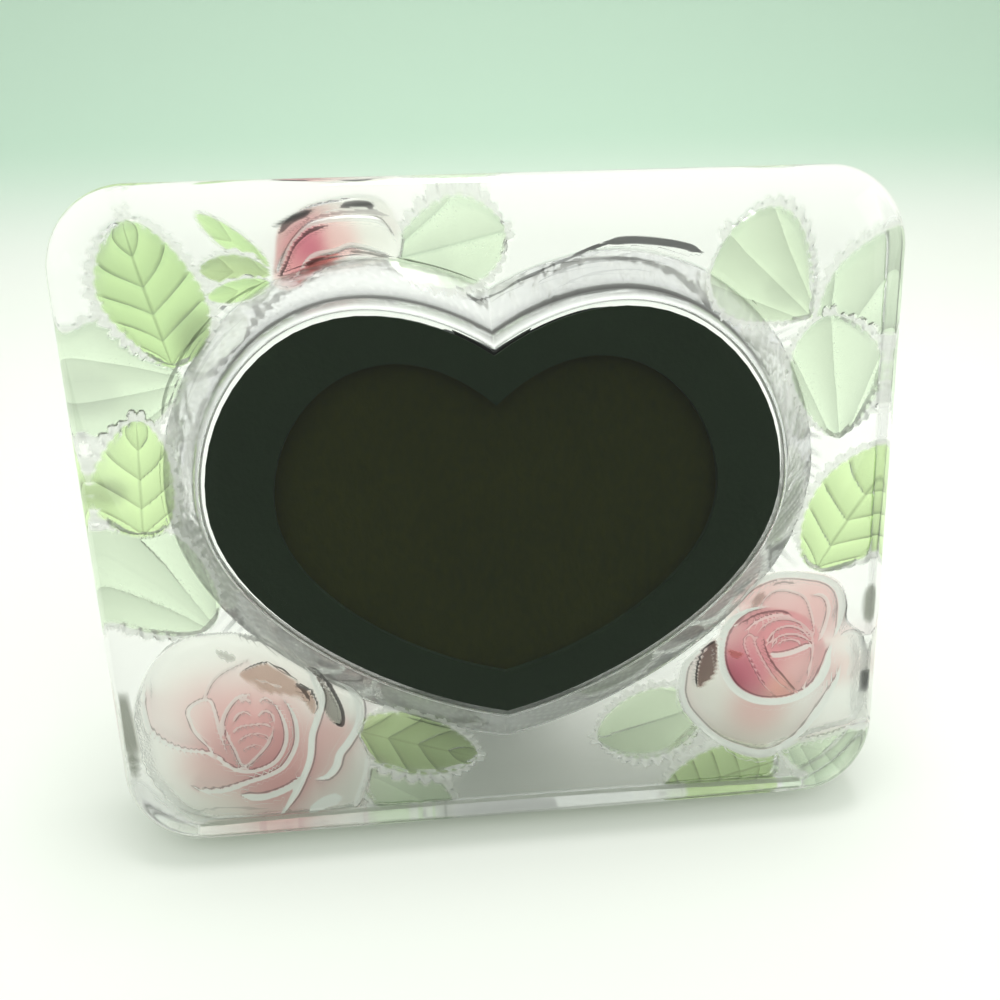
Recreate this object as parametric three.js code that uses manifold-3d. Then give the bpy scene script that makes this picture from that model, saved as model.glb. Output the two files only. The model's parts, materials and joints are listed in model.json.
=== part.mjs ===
// A pressed crystal picture frame: a thick clear slab with leaves, roses and a bud pressed into its back,
// a heart-shaped pocket that takes a mat and a print from behind, and a hinged easel strut.
import * as THREE from "three";
import { mergeVertices } from "three/addons/utils/BufferGeometryUtils.js";
import Module from "manifold-3d";

// Driving dimensions in millimetres and degrees. Pieces are drawn against the upright slab: x to the right,
// y from the front face into the depth, z up from the slab's middle. The whole then leans back.
const leanAngle = 15;
const seatGap = 0.3; // between pieces that lie against each other

// Crystal slab
const slabWidth = 170;
const slabHeight = 140;
const slabDepth = 25;
const cornerRadius = 17;
const frontRun = 16; // how far in from the outline the front starts to curve back
const frontRise = 6; // how deep it has curved when it meets the side
const innerCorner = 1; // corner radius of the flat front, at the least
const backRound = 1.2;
const restCut = 0.8; // depth of the ground flat that the slab stands on

// Heart outline of the mat: its notch, lobe, widest point and tip
const heartNotchZ = 35;
const heartLobeX = 26.8;
const heartLobeZ = 44;
const heartHalfWidth = 60.5;
const heartWidestZ = 7.4;
const heartTipZ = -43.6;

// Heart-shaped pocket, widening from its floor to its mouth
const floorThickness = 7.5; // clear crystal in front of the pocket
const floorMargin = 1.7; // pocket floor beyond the mat
const floorFillet = 1.2;
const wallDepth = 8.5;
const wallDraft = 1.8;
const flareWidth = 8;

// Window in the mat
const windowNotchZ = 24.9;
const windowLobeX = 20.8;
const windowLobeZ = 34.3;
const windowHalfWidth = 46.9;
const windowWidestZ = 5.7;
const windowTipZ = -34.2;

// Stack of flat pieces in the pocket
const matThickness = 1.5;
const printSlot = 0.6;
const backingThickness = 2.5;
const backingInset = 0.5; // backing board's edge inside the mat's
const padInset = 1;
const rearThickness = 3.8;
const rearInset = 0.4;
const rearBevel = 0.8;
const rearSink = 0.6; // rear board below the slab's back

// Felt grips between the pad and the pocket wall, at the notch and beside the tip
const gripDepth = 4;
const gripNotchLength = 9;
const gripTipLength = 26;

// Easel hinge
const hingeZ = 22;
const plateWidth = 36;
const plateHeight = 18;
const sheetThickness = 0.8; // steel of both leaves
const knuckleRadius = 2.2;
const knuckleSink = 0.4; // how far a knuckle merges with its leaf
const hingeWidth = 30;
const middleKnuckle = 12;
const pinRadius = 1;
const pinHeadRadius = 1.7;
const pinHeadLength = 0.8;
const heelWidth = 10;
const heelHeight = 7;
const heelThickness = 1.2;
const leafWidth = 20;
const leafHeight = 30;
const leafNeck = 6;

// Easel strut
const openAngle = 32;
const strutThickness = 2.6;
const strutTopWidth = 26;
const strutFootWidth = 38;
const strutCorner = 4;

// Rivets
const rivetShankRadius = 0.9;
const rivetHeadRadius = 1.9;
const rivetHeadHeight = 1;
const rivetBite = 3; // shank length inside the rear board
const plateRivetX = 13.5;
const plateRivetLow = 7; // above the pin
const plateRivetHigh = 14.5;
const leafRivetX = 6;
const leafRivetHigh = 12; // below the pin
const leafRivetLow = 24;

// Pressed relief on the back, by place on the face as seen from the front
const leafDepth = 1.5;
const leafTooth = 0.07; // share of the half width that each tooth takes
const roseDepth = 3;
const budDepth = 2;
const pressProud = 0.6; // how far the press forms stand out of the back

// Leaf blades: stem, tip and half width
const leafBlades = [
  { stem: [-67.5, 35.5], tip: [-72.5, 66], half: 10 },
  { stem: [-66, 31], tip: [-82, 42], half: 10 },
  { stem: [-76.5, -0.5], tip: [-75, 23.5], half: 6.8 },
  { stem: [-68, -24], tip: [-82, -3], half: 9 },
  { stem: [-19, 56.5], tip: [3, 59.5], half: 7 },
  { stem: [68.5, 40.5], tip: [50, 61], half: 10.5 },
  { stem: [78, 35], tip: [80, 58], half: 4 },
  { stem: [76.5, 13], tip: [74, 38], half: 7 },
  { stem: [74, -18.5], tip: [79, 11], half: 6.5 },
  { stem: [50, -50], tip: [24, -59], half: 9 },
  { stem: [64, -65], tip: [41, -66], half: 3 },
  { stem: [68, -63], tip: [81, -62], half: 4 },
  { stem: [-34, -52], tip: [-8, -60], half: 7.5 },
  { stem: [-38, -62], tip: [-14, -66], half: 2.8 },
];

// Narrow smooth sepals at the bud's stem
const sepalBlades = [
  { stem: [-45, 54], tip: [-58, 62.5], half: 1.8 },
  { stem: [-45, 53], tip: [-58, 53.5], half: 2.6 },
  { stem: [-45, 51], tip: [-57, 48.5], half: 2 },
];

// Petals of the bud, from the outer ones to the folded middle
const budPetals = [
  { stem: [-44.5, 53], tip: [-19, 63], half: 5.5, share: 0.7 },
  { stem: [-44, 51], tip: [-18, 55], half: 4, share: 0.6 },
  { stem: [-43, 52.5], tip: [-21, 60], half: 4, share: 1 },
];

// Roses: centre, outer radius and the turn of the first petal
const roses = [
  { centre: [-58.5, -47.5], radius: 20.5, turn: 20 },
  { centre: [62.5, -42], radius: 20, turn: 75 },
];

// Petal whorls of a rose, from outside in: count, inner and outer share of the radius, share of the depth
const whorls = [
  { count: 5, inner: 0.45, outer: 1, rim: 0.55 },
  { count: 5, inner: 0.25, outer: 0.7, rim: 0.8 },
  { count: 3, inner: 0.04, outer: 0.42, rim: 1 },
];

// Fineness of the facets
const cornerSteps = 8;
const roundSteps = 4;
const frontSteps = 8;
const heartSteps = 40; // along half of a heart
const curveSteps = 60; // along one curve of a heart, before it is spaced out evenly
const leafStations = 12;
const petalStations = 6;
const roundSides = 20;
const rivetSides = 12;

// Places that follow from the sizes above
const lean = THREE.MathUtils.degToRad(leanAngle);
const opening = THREE.MathUtils.degToRad(openAngle);
const wallOffset = floorMargin + wallDraft;
const mouthOffset = wallOffset + flareWidth;
const matFront = floorThickness + seatGap;
const backingFront = matFront + matThickness + printSlot;
const padFront = backingFront + backingThickness + seatGap;
const rearBack = slabDepth - rearSink;
const rearFront = rearBack - rearThickness;
const padBack = rearFront - seatGap;
const plateFront = rearBack + seatGap;
const plateBack = plateFront + sheetThickness;
const pinY = plateBack + knuckleRadius - knuckleSink;
const boreRadius = pinRadius + seatGap;
const rivetHoleRadius = rivetShankRadius + seatGap;

// Height above the slab's middle, measured straight up once the slab leans, of the table it stands on
const tableHeight =
  -(slabDepth - backRound) * Math.sin(lean) -
  (slabHeight / 2 - backRound) * Math.cos(lean) -
  backRound +
  restCut;
const pinDrop = hingeZ * Math.cos(lean) - pinY * Math.sin(lean) - tableHeight;
const strutSlope = opening - lean;

const wasm = await Module();
wasm.setup();

// A closed geometry as a solid that can be joined and cut
function solid(geometry) {
  const bare = geometry.clone();
  bare.deleteAttribute("normal");
  bare.deleteAttribute("uv");
  const merged = mergeVertices(bare, 1e-4);
  return new wasm.Manifold(
    new wasm.Mesh({
      numProp: 3,
      vertProperties: merged.attributes.position.array,
      triVerts: Uint32Array.from(merged.index.array),
    }),
  );
}

// A solid back as a geometry
function geometryOf(made) {
  const mesh = made.getMesh();
  const geometry = new THREE.BufferGeometry();
  geometry.setAttribute("position", new THREE.BufferAttribute(mesh.vertProperties, mesh.numProp));
  geometry.setIndex(new THREE.BufferAttribute(mesh.triVerts, 1));
  geometry.computeVertexNormals();
  return geometry;
}

function joined(geometries) {
  return geometries.map(solid).reduce((whole, piece) => whole.add(piece));
}

function cut(body, cutters) {
  return geometryOf(cutters.map(solid).reduce((whole, cutter) => whole.subtract(cutter), body));
}

// Signed volume of an indexed geometry
function volumeOf(points, index) {
  let sum = 0;
  for (let i = 0; i < index.length; i += 3) {
    const [a, b, c] = [points[index[i]], points[index[i + 1]], points[index[i + 2]]];
    sum += a.dot(b.clone().cross(c));
  }
  return sum / 6;
}

const onFace = (p) => new THREE.Vector2(p.x, p.z);

// Rings of equally many points joined into one closed skin; flatten lays an end ring out to be filled
function loft(rings, flatten = onFace) {
  const count = rings[0].length;
  const points = rings.flat();
  const index = [];
  for (let r = 0; r + 1 < rings.length; r++) {
    for (let i = 0; i < count; i++) {
      const a = r * count + i;
      const b = r * count + ((i + 1) % count);
      index.push(a, b, b + count, a, b + count, a + count);
    }
  }
  const fill = (ring, start, alongRing) => {
    const outline = ring.map(flatten);
    const ringSign = Math.sign(THREE.ShapeUtils.area(outline));
    for (const [a, b, c] of THREE.ShapeUtils.triangulateShape(outline, [])) {
      const sign = Math.sign(THREE.ShapeUtils.area([outline[a], outline[b], outline[c]]));
      const keep = (sign === ringSign) === alongRing;
      index.push(start + a, start + (keep ? b : c), start + (keep ? c : b));
    }
  };
  fill(rings[0], 0, false);
  fill(rings[rings.length - 1], points.length - count, true);
  const geometry = new THREE.BufferGeometry().setFromPoints(points);
  geometry.setIndex(volumeOf(points, index) < 0 ? index.reverse() : index);
  return geometry;
}

// A rounded rectangle around the slab's middle, drawn in by inset, at depth y
function slabRing(inset, y) {
  const radius = Math.max(cornerRadius - inset, innerCorner);
  const halfX = slabWidth / 2 - inset - radius;
  const halfZ = slabHeight / 2 - inset - radius;
  const ring = [];
  for (const [sideX, sideZ, start] of [[1, 1, 0], [-1, 1, 1], [-1, -1, 2], [1, -1, 3]]) {
    for (let i = 0; i <= cornerSteps; i++) {
      const angle = (start + i / cornerSteps) * (Math.PI / 2);
      const x = sideX * halfX + radius * Math.cos(angle);
      const z = sideZ * halfZ + radius * Math.sin(angle);
      ring.push(new THREE.Vector3(x, y, z));
    }
  }
  return ring;
}

// Angles from 0 to a right angle
const quarter = (steps) => Array.from({ length: steps + 1 }, (_, i) => (i / steps) * (Math.PI / 2));

// The slab: its front curves back to the sides as a quarter ellipse, its back edge is a quarter circle
function slabGeometry() {
  const front = quarter(frontSteps).map((a) =>
    slabRing(frontRun * (1 - Math.sin(a)), frontRise * (1 - Math.cos(a))),
  );
  const back = quarter(roundSteps).map((a) =>
    slabRing(backRound * (1 - Math.cos(a)), slabDepth - backRound * (1 - Math.sin(a))),
  );
  return loft([...front, ...back]);
}

// The right half of a heart from notch to tip: three curves through its notch, lobe, widest point and tip
function heartHalf(notchZ, lobeX, lobeZ, halfWidth, widestZ, tipZ) {
  const v = (x, z) => new THREE.Vector2(x, z);
  const rise = lobeZ - notchZ;
  const fall = widestZ - tipZ;
  const curves = [
    [v(0, notchZ), v(0.29 * lobeX, notchZ + 0.6 * rise), v(0.65 * lobeX, lobeZ), v(lobeX, lobeZ)],
    [
      v(lobeX, lobeZ),
      v(lobeX + 0.57 * (halfWidth - lobeX), lobeZ),
      v(halfWidth, widestZ + 0.52 * (lobeZ - widestZ)),
      v(halfWidth, widestZ),
    ],
    [
      v(halfWidth, widestZ),
      v(halfWidth, widestZ - 0.475 * fall),
      v(0.44 * halfWidth, tipZ + 0.117 * fall),
      v(0, tipZ),
    ],
  ].map((handles) => new THREE.CubicBezierCurve(...handles));
  return curves.flatMap((curve, i) => curve.getPoints(curveSteps).slice(i ? 1 : 0));
}

const matHeart = heartHalf(heartNotchZ, heartLobeX, heartLobeZ, heartHalfWidth, heartWidestZ, heartTipZ);
const windowHeart = heartHalf(
  windowNotchZ,
  windowLobeX,
  windowLobeZ,
  windowHalfWidth,
  windowWidestZ,
  windowTipZ,
);

// Half a heart moved out by offset along its normals, then clipped or lengthened to end on the middle line
function offsetHalf(half, offset) {
  const moved = half.map((p, i) => {
    const before = half[Math.max(i - 1, 0)];
    const after = half[Math.min(i + 1, half.length - 1)];
    const along = after.clone().sub(before).normalize();
    return new THREE.Vector2(p.x - along.y * offset, p.y + along.x * offset);
  });
  const kept = moved.filter((p) => p.x > 0);
  const onMiddle = (end, next) => {
    const slope = (next.y - end.y) / (next.x - end.x);
    return new THREE.Vector2(0, end.y - slope * end.x);
  };
  const first = onMiddle(kept[0], kept[1]);
  const last = onMiddle(kept[kept.length - 1], kept[kept.length - 2]);
  return [first, ...kept, last];
}

// Evenly spaced points from the notch down the right side to the tip
function spacedHalf(half, offset) {
  return new THREE.Path(offsetHalf(half, offset)).getSpacedPoints(heartSteps);
}

// A whole heart as a ring at depth y
function heartRing(half, offset, y) {
  const right = spacedHalf(half, offset);
  const left = right.slice(1, -1).reverse();
  return [
    ...right.map((p) => new THREE.Vector3(p.x, y, p.y)),
    ...left.map((p) => new THREE.Vector3(-p.x, y, p.y)),
  ];
}

// The space of the pocket: floor, fillet, drafted wall and flare, carried on past the slab's back
function pocketGeometry() {
  const filletTop = floorThickness + floorFillet;
  const flat = floorMargin - floorFillet;
  const round = [0, 0.5, 1].map((share) => {
    const a = share * (Math.PI / 2);
    return heartRing(
      matHeart,
      flat + floorFillet * Math.sin(a),
      filletTop - floorFillet * Math.cos(a),
    );
  });
  const past = pressProud / (slabDepth - floorThickness - wallDepth);
  return loft([
    ...round,
    heartRing(matHeart, wallOffset, floorThickness + wallDepth),
    heartRing(matHeart, mouthOffset + flareWidth * past, slabDepth + pressProud),
  ]);
}

// A press form for a blade: raised to a crest on both sides of its rib, with teeth along its edges
function bladeForm({ stem, tip, half }, depth, tooth) {
  const spine = new THREE.Vector2(tip[0] - stem[0], tip[1] - stem[1]);
  const across = new THREE.Vector2(-spine.y, spine.x).normalize();
  const place = (s, offset, deep) =>
    new THREE.Vector3(
      stem[0] + spine.x * s + across.x * offset,
      slabDepth - deep,
      stem[1] + spine.y * s + across.y * offset,
    );
  const rings = [];
  for (let i = 0; i <= leafStations; i++) {
    const s = i / leafStations;
    const swell = 0.05 + 0.95 * Math.sin(Math.PI * s ** 0.8) ** 0.8;
    const edge = half * swell * (1 + (i % 2 ? tooth : -tooth));
    const crest = depth * (0.45 + 0.55 * swell) * (i % 2 ? 1 : 0.85);
    const rib = depth * 0.55;
    const rim = depth * 0.4;
    rings.push([
      place(s, -edge, -pressProud),
      place(s, -edge, rim),
      place(s, -0.5 * edge, crest),
      place(s, 0, rib),
      place(s, 0.5 * edge, crest),
      place(s, edge, rim),
      place(s, edge, -pressProud),
    ]);
  }
  return loft(rings, (p) => new THREE.Vector2(across.x * p.x + across.y * p.z, p.y));
}

// A press form for one petal: a fan that deepens from its root to a rounded rim
function petalForm(centre, radius, middle, span, { inner, outer, rim }) {
  const [centreX, centreZ] = centre;
  const place = (angle, r, deep) =>
    new THREE.Vector3(
      centreX + r * Math.cos(angle),
      slabDepth - deep,
      centreZ + r * Math.sin(angle),
    );
  const rings = [];
  for (let i = 0; i <= petalStations; i++) {
    const side = (2 * i) / petalStations - 1;
    const angle = middle + (side * span) / 2;
    const root = inner * radius;
    const reach = (outer - inner) * radius * (1 - 0.45 * side * side);
    const deep = roseDepth * rim * (1 - 0.35 * side * side);
    rings.push([
      place(angle, root, -pressProud),
      place(angle, root, 0.45 * deep),
      place(angle, root + 0.55 * reach, 0.7 * deep),
      place(angle, root + 0.9 * reach, deep),
      place(angle, root + reach, 0.75 * deep),
      place(angle, root + reach, -pressProud),
    ]);
  }
  return loft(rings, (p) => new THREE.Vector2(Math.hypot(p.x - centreX, p.z - centreZ), p.y));
}

// The petals of a rose in whorls, each whorl turned half a petal against the one around it
function roseForms({ centre, radius, turn }) {
  return whorls.flatMap((whorl, w) =>
    Array.from({ length: whorl.count }, (_, i) => {
      const pitch = (2 * Math.PI) / whorl.count;
      const middle = THREE.MathUtils.degToRad(turn) + (i + w / 2) * pitch;
      return petalForm(centre, radius, middle, pitch * 1.25, whorl);
    }),
  );
}

function reliefForms() {
  return [
    ...leafBlades.map((blade) => bladeForm(blade, leafDepth, leafTooth)),
    ...sepalBlades.map((blade) => bladeForm(blade, leafDepth, 0)),
    ...budPetals.map((petal) => bladeForm(petal, budDepth * petal.share, 0)),
    ...roses.flatMap(roseForms),
  ];
}

// Everything below the table, which grinds the slab's resting flat, drawn in the slab's own frame
function belowTable() {
  const size = 2 * slabWidth;
  const block = new THREE.BoxGeometry(size, size, size);
  block.translate(0, 0, tableHeight - size / 2);
  return block.rotateX(lean);
}

// A flat outline, drawn as x and z, made thick from depth y0 backwards
function plate(shape, y0, thickness) {
  const geometry = new THREE.ExtrudeGeometry(shape, {
    depth: thickness,
    bevelEnabled: false,
    curveSegments: roundSides / 4,
  });
  return geometry.rotateX(Math.PI / 2).translate(0, y0 + thickness, 0);
}

function heartShape(half, offset) {
  return new THREE.Shape(heartRing(half, offset, 0).map(onFace).reverse());
}

function matGeometry() {
  const shape = heartShape(matHeart, 0);
  shape.holes.push(new THREE.Path(heartRing(windowHeart, 0, 0).map(onFace)));
  return plate(shape, matFront, matThickness);
}

function rivetHoles(places, y0, length) {
  return places.map(([x, z]) => {
    const hole = new THREE.CylinderGeometry(rivetHoleRadius, rivetHoleRadius, length, rivetSides);
    return hole.translate(x, y0 + length / 2, z);
  });
}

const plateRivets = [-plateRivetX, plateRivetX].flatMap((x) => [
  [x, hingeZ + plateRivetLow],
  [x, hingeZ + plateRivetHigh],
]);
const leafRivets = [
  [0, -leafRivetHigh],
  [-leafRivetX, -leafRivetLow],
  [leafRivetX, -leafRivetLow],
];

function rearBoardGeometry() {
  const board = loft([
    heartRing(matHeart, -rearInset, rearFront),
    heartRing(matHeart, -rearInset, rearBack - rearBevel),
    heartRing(matHeart, -rearInset - rearBevel, rearBack),
  ]);
  return cut(solid(board), rivetHoles(plateRivets, rearFront - 1, rearThickness + 2));
}

// A felt strip that fills the space between the pad and the wall along a stretch of the heart's half outline
function gripShape(from, to) {
  const inside = new THREE.Path(offsetHalf(matHeart, seatGap - padInset));
  const outside = new THREE.Path(offsetHalf(matHeart, floorMargin - seatGap));
  const stretch = (path, a, b) =>
    Array.from({ length: heartSteps / 4 + 1 }, (_, i) => path.getPointAt(a + ((b - a) * i) / (heartSteps / 4)));
  const share = (path, length) => THREE.MathUtils.clamp(length / path.getLength(), 0, 1);
  return [
    ...stretch(inside, share(inside, from), share(inside, to)),
    ...stretch(outside, share(outside, from), share(outside, to)).reverse(),
  ];
}

const mirrored = (points) => points.map((p) => new THREE.Vector2(-p.x, p.y)).reverse();

// The notch grip is one piece across the middle line, so its two halves meet there
function notchGripGeometry() {
  const half = gripShape(0, gripNotchLength);
  const inner = half.slice(0, half.length / 2);
  const outer = half.slice(half.length / 2);
  const outline = [...mirrored(inner), ...inner.slice(1), ...outer, ...mirrored(outer).slice(1)];
  return plate(new THREE.Shape(outline), padFront + seatGap, gripDepth);
}

function tipGripGeometry(side) {
  const end = new THREE.Path(offsetHalf(matHeart, seatGap - padInset)).getLength() - seatGap;
  const half = gripShape(end - gripTipLength, end);
  const outline = side > 0 ? half : mirrored(half);
  return plate(new THREE.Shape(outline), padFront + seatGap, gripDepth);
}

function alongX(radius, length, x) {
  const cylinder = new THREE.CylinderGeometry(radius, radius, length, roundSides);
  return cylinder.rotateZ(Math.PI / 2).translate(x, 0, 0);
}

function block(x0, x1, y0, y1, z0, z1) {
  const box = new THREE.BoxGeometry(x1 - x0, y1 - y0, z1 - z0);
  return box.translate((x0 + x1) / 2, (y0 + y1) / 2, (z0 + z1) / 2);
}

// The fixed leaf: a plate with a knuckle at each side, its middle cut back around the moving knuckle
function hingePlateGeometry() {
  const sideStart = middleKnuckle / 2 + seatGap;
  const sideLength = hingeWidth / 2 - sideStart;
  const sides = [-1, 1].flatMap((side) => {
    const middle = side * (sideStart + sideLength / 2);
    const tab = block(
      middle - sideLength / 2,
      middle + sideLength / 2,
      plateFront,
      plateBack,
      hingeZ,
      hingeZ + knuckleRadius + 2 * seatGap + sheetThickness,
    );
    return [tab, alongX(knuckleRadius, sideLength, middle).translate(0, pinY, hingeZ)];
  });
  const sheet = block(
    -plateWidth / 2,
    plateWidth / 2,
    plateFront,
    plateBack,
    hingeZ + knuckleRadius + 2 * seatGap,
    hingeZ + plateHeight,
  );
  return cut(joined([sheet, ...sides]), [
    alongX(boreRadius, 2 * hingeWidth, 0).translate(0, pinY, hingeZ),
    ...rivetHoles(plateRivets, plateFront - 1, sheetThickness + 2),
  ]);
}

// A pin with a round head at its left end
function pinGeometry() {
  const half = hingeWidth / 2;
  const head = half + seatGap;
  const profile = [
    [0, -half],
    [pinRadius, -half],
    [pinRadius, head],
    [pinHeadRadius, head],
    [pinHeadRadius * 0.8, head + pinHeadLength],
    [0, head + pinHeadLength],
  ].map(([r, y]) => new THREE.Vector2(r, y));
  return new THREE.LatheGeometry(profile, roundSides).rotateZ(Math.PI / 2);
}

// A rivet along y: a shank of the given length and a low domed head behind it
function rivetGeometry(shank) {
  const profile = [
    [0, -shank],
    [rivetShankRadius, -shank],
    [rivetShankRadius, 0],
    [rivetHeadRadius, 0],
    [rivetHeadRadius * 0.8, rivetHeadHeight * 0.65],
    [rivetHeadRadius * 0.4, rivetHeadHeight * 0.95],
    [0, rivetHeadHeight],
  ].map(([r, y]) => new THREE.Vector2(r, y));
  return new THREE.LatheGeometry(profile, rivetSides);
}

// The moving leaf, drawn folded with the pin as its origin: knuckle, neck, sheet and the heel that stops it
function strutLeafGeometry() {
  const sheetFront = strutThickness / 2 + seatGap;
  const sheetBack = sheetFront + sheetThickness;
  const knuckle = alongX(knuckleRadius, middleKnuckle, 0);
  const neck = block(-middleKnuckle / 2, middleKnuckle / 2, sheetFront, sheetBack, -leafNeck, 0);
  const sheet = block(-leafWidth / 2, leafWidth / 2, sheetFront, sheetBack, -leafHeight, -leafNeck + 0.01);
  const heelFront = plateBack + seatGap - pinY;
  const heel = block(
    -heelWidth / 2,
    heelWidth / 2,
    heelFront,
    heelFront + heelThickness,
    0,
    heelHeight,
  ).rotateX(-opening);
  return cut(joined([knuckle, neck, sheet, heel]), [
    alongX(boreRadius, 2 * middleKnuckle, 0),
    ...rivetHoles(leafRivets, sheetFront - 1, sheetThickness + 2),
  ]);
}

// The strut, drawn folded below the pin: wider at its foot, which is cut to lie flat on the table when open
function strutGeometry() {
  const top = -knuckleRadius - 2 * seatGap;
  const foot = -pinDrop / Math.cos(strutSlope) - strutThickness;
  const corner = strutCorner;
  const shape = new THREE.Shape();
  shape.moveTo(-strutFootWidth / 2, foot);
  shape.lineTo(strutFootWidth / 2, foot);
  shape.lineTo(strutTopWidth / 2, top - corner);
  shape.quadraticCurveTo(strutTopWidth / 2, top, strutTopWidth / 2 - corner, top);
  shape.lineTo(-strutTopWidth / 2 + corner, top);
  shape.quadraticCurveTo(-strutTopWidth / 2, top, -strutTopWidth / 2, top - corner);
  const size = 2 * slabWidth;
  const table = new THREE.BoxGeometry(size, size, size);
  table.translate(0, 0, -pinDrop - size / 2).rotateX(-strutSlope);
  return cut(solid(plate(shape, -strutThickness / 2, strutThickness)), [
    table,
    ...rivetHoles(leafRivets, -strutThickness, 2 * strutThickness),
  ]);
}

const crystal = new THREE.MeshStandardMaterial({
  color: 0xe4f2e8,
  roughness: 0.05,
  metalness: 0,
  transparent: true,
  opacity: 0.45,
});
const matCard = new THREE.MeshStandardMaterial({ color: 0x28342a, roughness: 0.85, metalness: 0 });
const hardboard = new THREE.MeshStandardMaterial({ color: 0x4a3a24, roughness: 0.8, metalness: 0 });
const foam = new THREE.MeshStandardMaterial({ color: 0x232823, roughness: 0.95, metalness: 0 });
const velvet = new THREE.MeshStandardMaterial({ color: 0x1c1e22, roughness: 1, metalness: 0 });
const flock = new THREE.MeshStandardMaterial({ color: 0x8a8f8a, roughness: 1, metalness: 0 });
const felt = new THREE.MeshStandardMaterial({ color: 0x1a201c, roughness: 1, metalness: 0 });
const steel = new THREE.MeshStandardMaterial({ color: 0xb4b6b8, roughness: 0.35, metalness: 1 });

function piece(name, geometry, material, parent) {
  const mesh = new THREE.Mesh(geometry, material);
  mesh.name = name;
  parent.add(mesh);
  return mesh;
}

// The back of the frame, which pulls out of the pocket, and the strut that hangs on it
const slabGroup = new THREE.Group();
const insertGroup = new THREE.Group();
const strutGroup = new THREE.Group();
slabGroup.add(insertGroup);
insertGroup.add(strutGroup);
strutGroup.position.set(0, pinY, hingeZ);
strutGroup.rotation.x = opening;

const pressed = [pocketGeometry(), belowTable(), ...reliefForms()];
piece("crystal_body", cut(solid(slabGeometry()), pressed), crystal, slabGroup);

piece("heart_mat", matGeometry(), matCard, insertGroup);
const backingShape = heartShape(matHeart, -backingInset);
piece("backing_board", plate(backingShape, backingFront, backingThickness), hardboard, insertGroup);
const padShape = heartShape(matHeart, -padInset);
piece("filler_pad", plate(padShape, padFront, padBack - padFront), foam, insertGroup);
piece("rear_board", rearBoardGeometry(), velvet, insertGroup);
piece("notch_grip", notchGripGeometry(), felt, insertGroup);
piece("tip_grip_left", tipGripGeometry(-1), felt, insertGroup);
piece("tip_grip_right", tipGripGeometry(1), felt, insertGroup);

piece("hinge_plate", hingePlateGeometry(), steel, insertGroup);
piece("hinge_pin", pinGeometry(), steel, insertGroup).position.set(0, pinY, hingeZ);
plateRivets.forEach(([x, z], i) => {
  const rivet = rivetGeometry(sheetThickness + 2 * seatGap + rivetBite);
  piece(`plate_rivet_${i + 1}`, rivet, steel, insertGroup).position.set(x, plateBack + seatGap, z);
});

piece("easel_strut", strutGeometry(), flock, strutGroup);
piece("strut_leaf", strutLeafGeometry(), steel, strutGroup);
leafRivets.forEach(([x, z], i) => {
  const sheetBack = strutThickness / 2 + seatGap + sheetThickness;
  const rivet = rivetGeometry(seatGap + sheetBack + strutThickness / 2);
  piece(`strut_rivet_${i + 1}`, rivet, steel, strutGroup).position.set(x, sheetBack + seatGap, z);
});

// Lean the slab back on its flat and put the origin on the table below the middle of the whole
slabGroup.rotation.x = -lean;
slabGroup.position.z = -tableHeight;
const frameGroup = new THREE.Group();
frameGroup.add(slabGroup);
const extent = new THREE.Box3().setFromObject(frameGroup, true);
slabGroup.position.y = -(extent.min.y + extent.max.y) / 2;

export default frameGroup;
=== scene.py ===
import json
import math

import bpy
import numpy as np
from mathutils import Matrix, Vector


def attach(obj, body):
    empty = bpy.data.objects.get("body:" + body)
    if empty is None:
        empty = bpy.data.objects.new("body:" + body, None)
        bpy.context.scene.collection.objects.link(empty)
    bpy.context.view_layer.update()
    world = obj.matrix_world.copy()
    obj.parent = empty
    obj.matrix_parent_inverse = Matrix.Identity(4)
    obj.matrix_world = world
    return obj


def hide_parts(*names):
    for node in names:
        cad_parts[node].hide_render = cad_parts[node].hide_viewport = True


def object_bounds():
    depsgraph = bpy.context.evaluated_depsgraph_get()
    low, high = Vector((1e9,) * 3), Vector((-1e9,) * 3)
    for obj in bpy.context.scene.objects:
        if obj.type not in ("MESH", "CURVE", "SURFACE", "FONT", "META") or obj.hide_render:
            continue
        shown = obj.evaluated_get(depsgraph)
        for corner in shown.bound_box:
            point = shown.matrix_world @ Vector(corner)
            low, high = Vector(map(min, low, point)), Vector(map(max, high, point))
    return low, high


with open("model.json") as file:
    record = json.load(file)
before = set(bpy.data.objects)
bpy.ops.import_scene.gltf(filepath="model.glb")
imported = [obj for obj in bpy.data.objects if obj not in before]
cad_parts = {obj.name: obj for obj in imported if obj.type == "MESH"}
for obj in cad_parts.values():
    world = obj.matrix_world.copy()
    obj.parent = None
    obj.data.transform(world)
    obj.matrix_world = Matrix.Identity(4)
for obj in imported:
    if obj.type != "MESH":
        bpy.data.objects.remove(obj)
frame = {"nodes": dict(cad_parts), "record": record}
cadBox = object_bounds()
joints = {joint["name"]: joint for joint in frame["record"]["behaviour"]["joints"]}
print("frame loaded:", len(frame["nodes"]), "nodes")

# The slab's own directions: right along the face, into the depth and up the leaning face. The hinge pin is known
# in both frames, so it gives the middle of the front face.
mm = 0.001
pinPlace = {"depth": 27.3, "up": 22.0}
right = np.array([1.0, 0.0, 0.0])
into = np.array(joints["insert_pull"]["axis"])
up = np.cross(right, into)
pin = np.array(joints["strut_swing"]["pos_m"])
faceMiddle = pin - mm * (pinPlace["depth"] * into + pinPlace["up"] * up)


def placed(x, y, z):
    # face millimetres (right, depth, up) to metres in the frame
    x, y, z = np.broadcast_arrays(x, y, z)
    return faceMiddle + mm * (x[..., None] * right + y[..., None] * into + z[..., None] * up)


def smooth(value, low, high):
    t = np.clip((value - low) / (high - low), 0.0, 1.0)
    return t * t * (3.0 - 2.0 * t)


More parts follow.
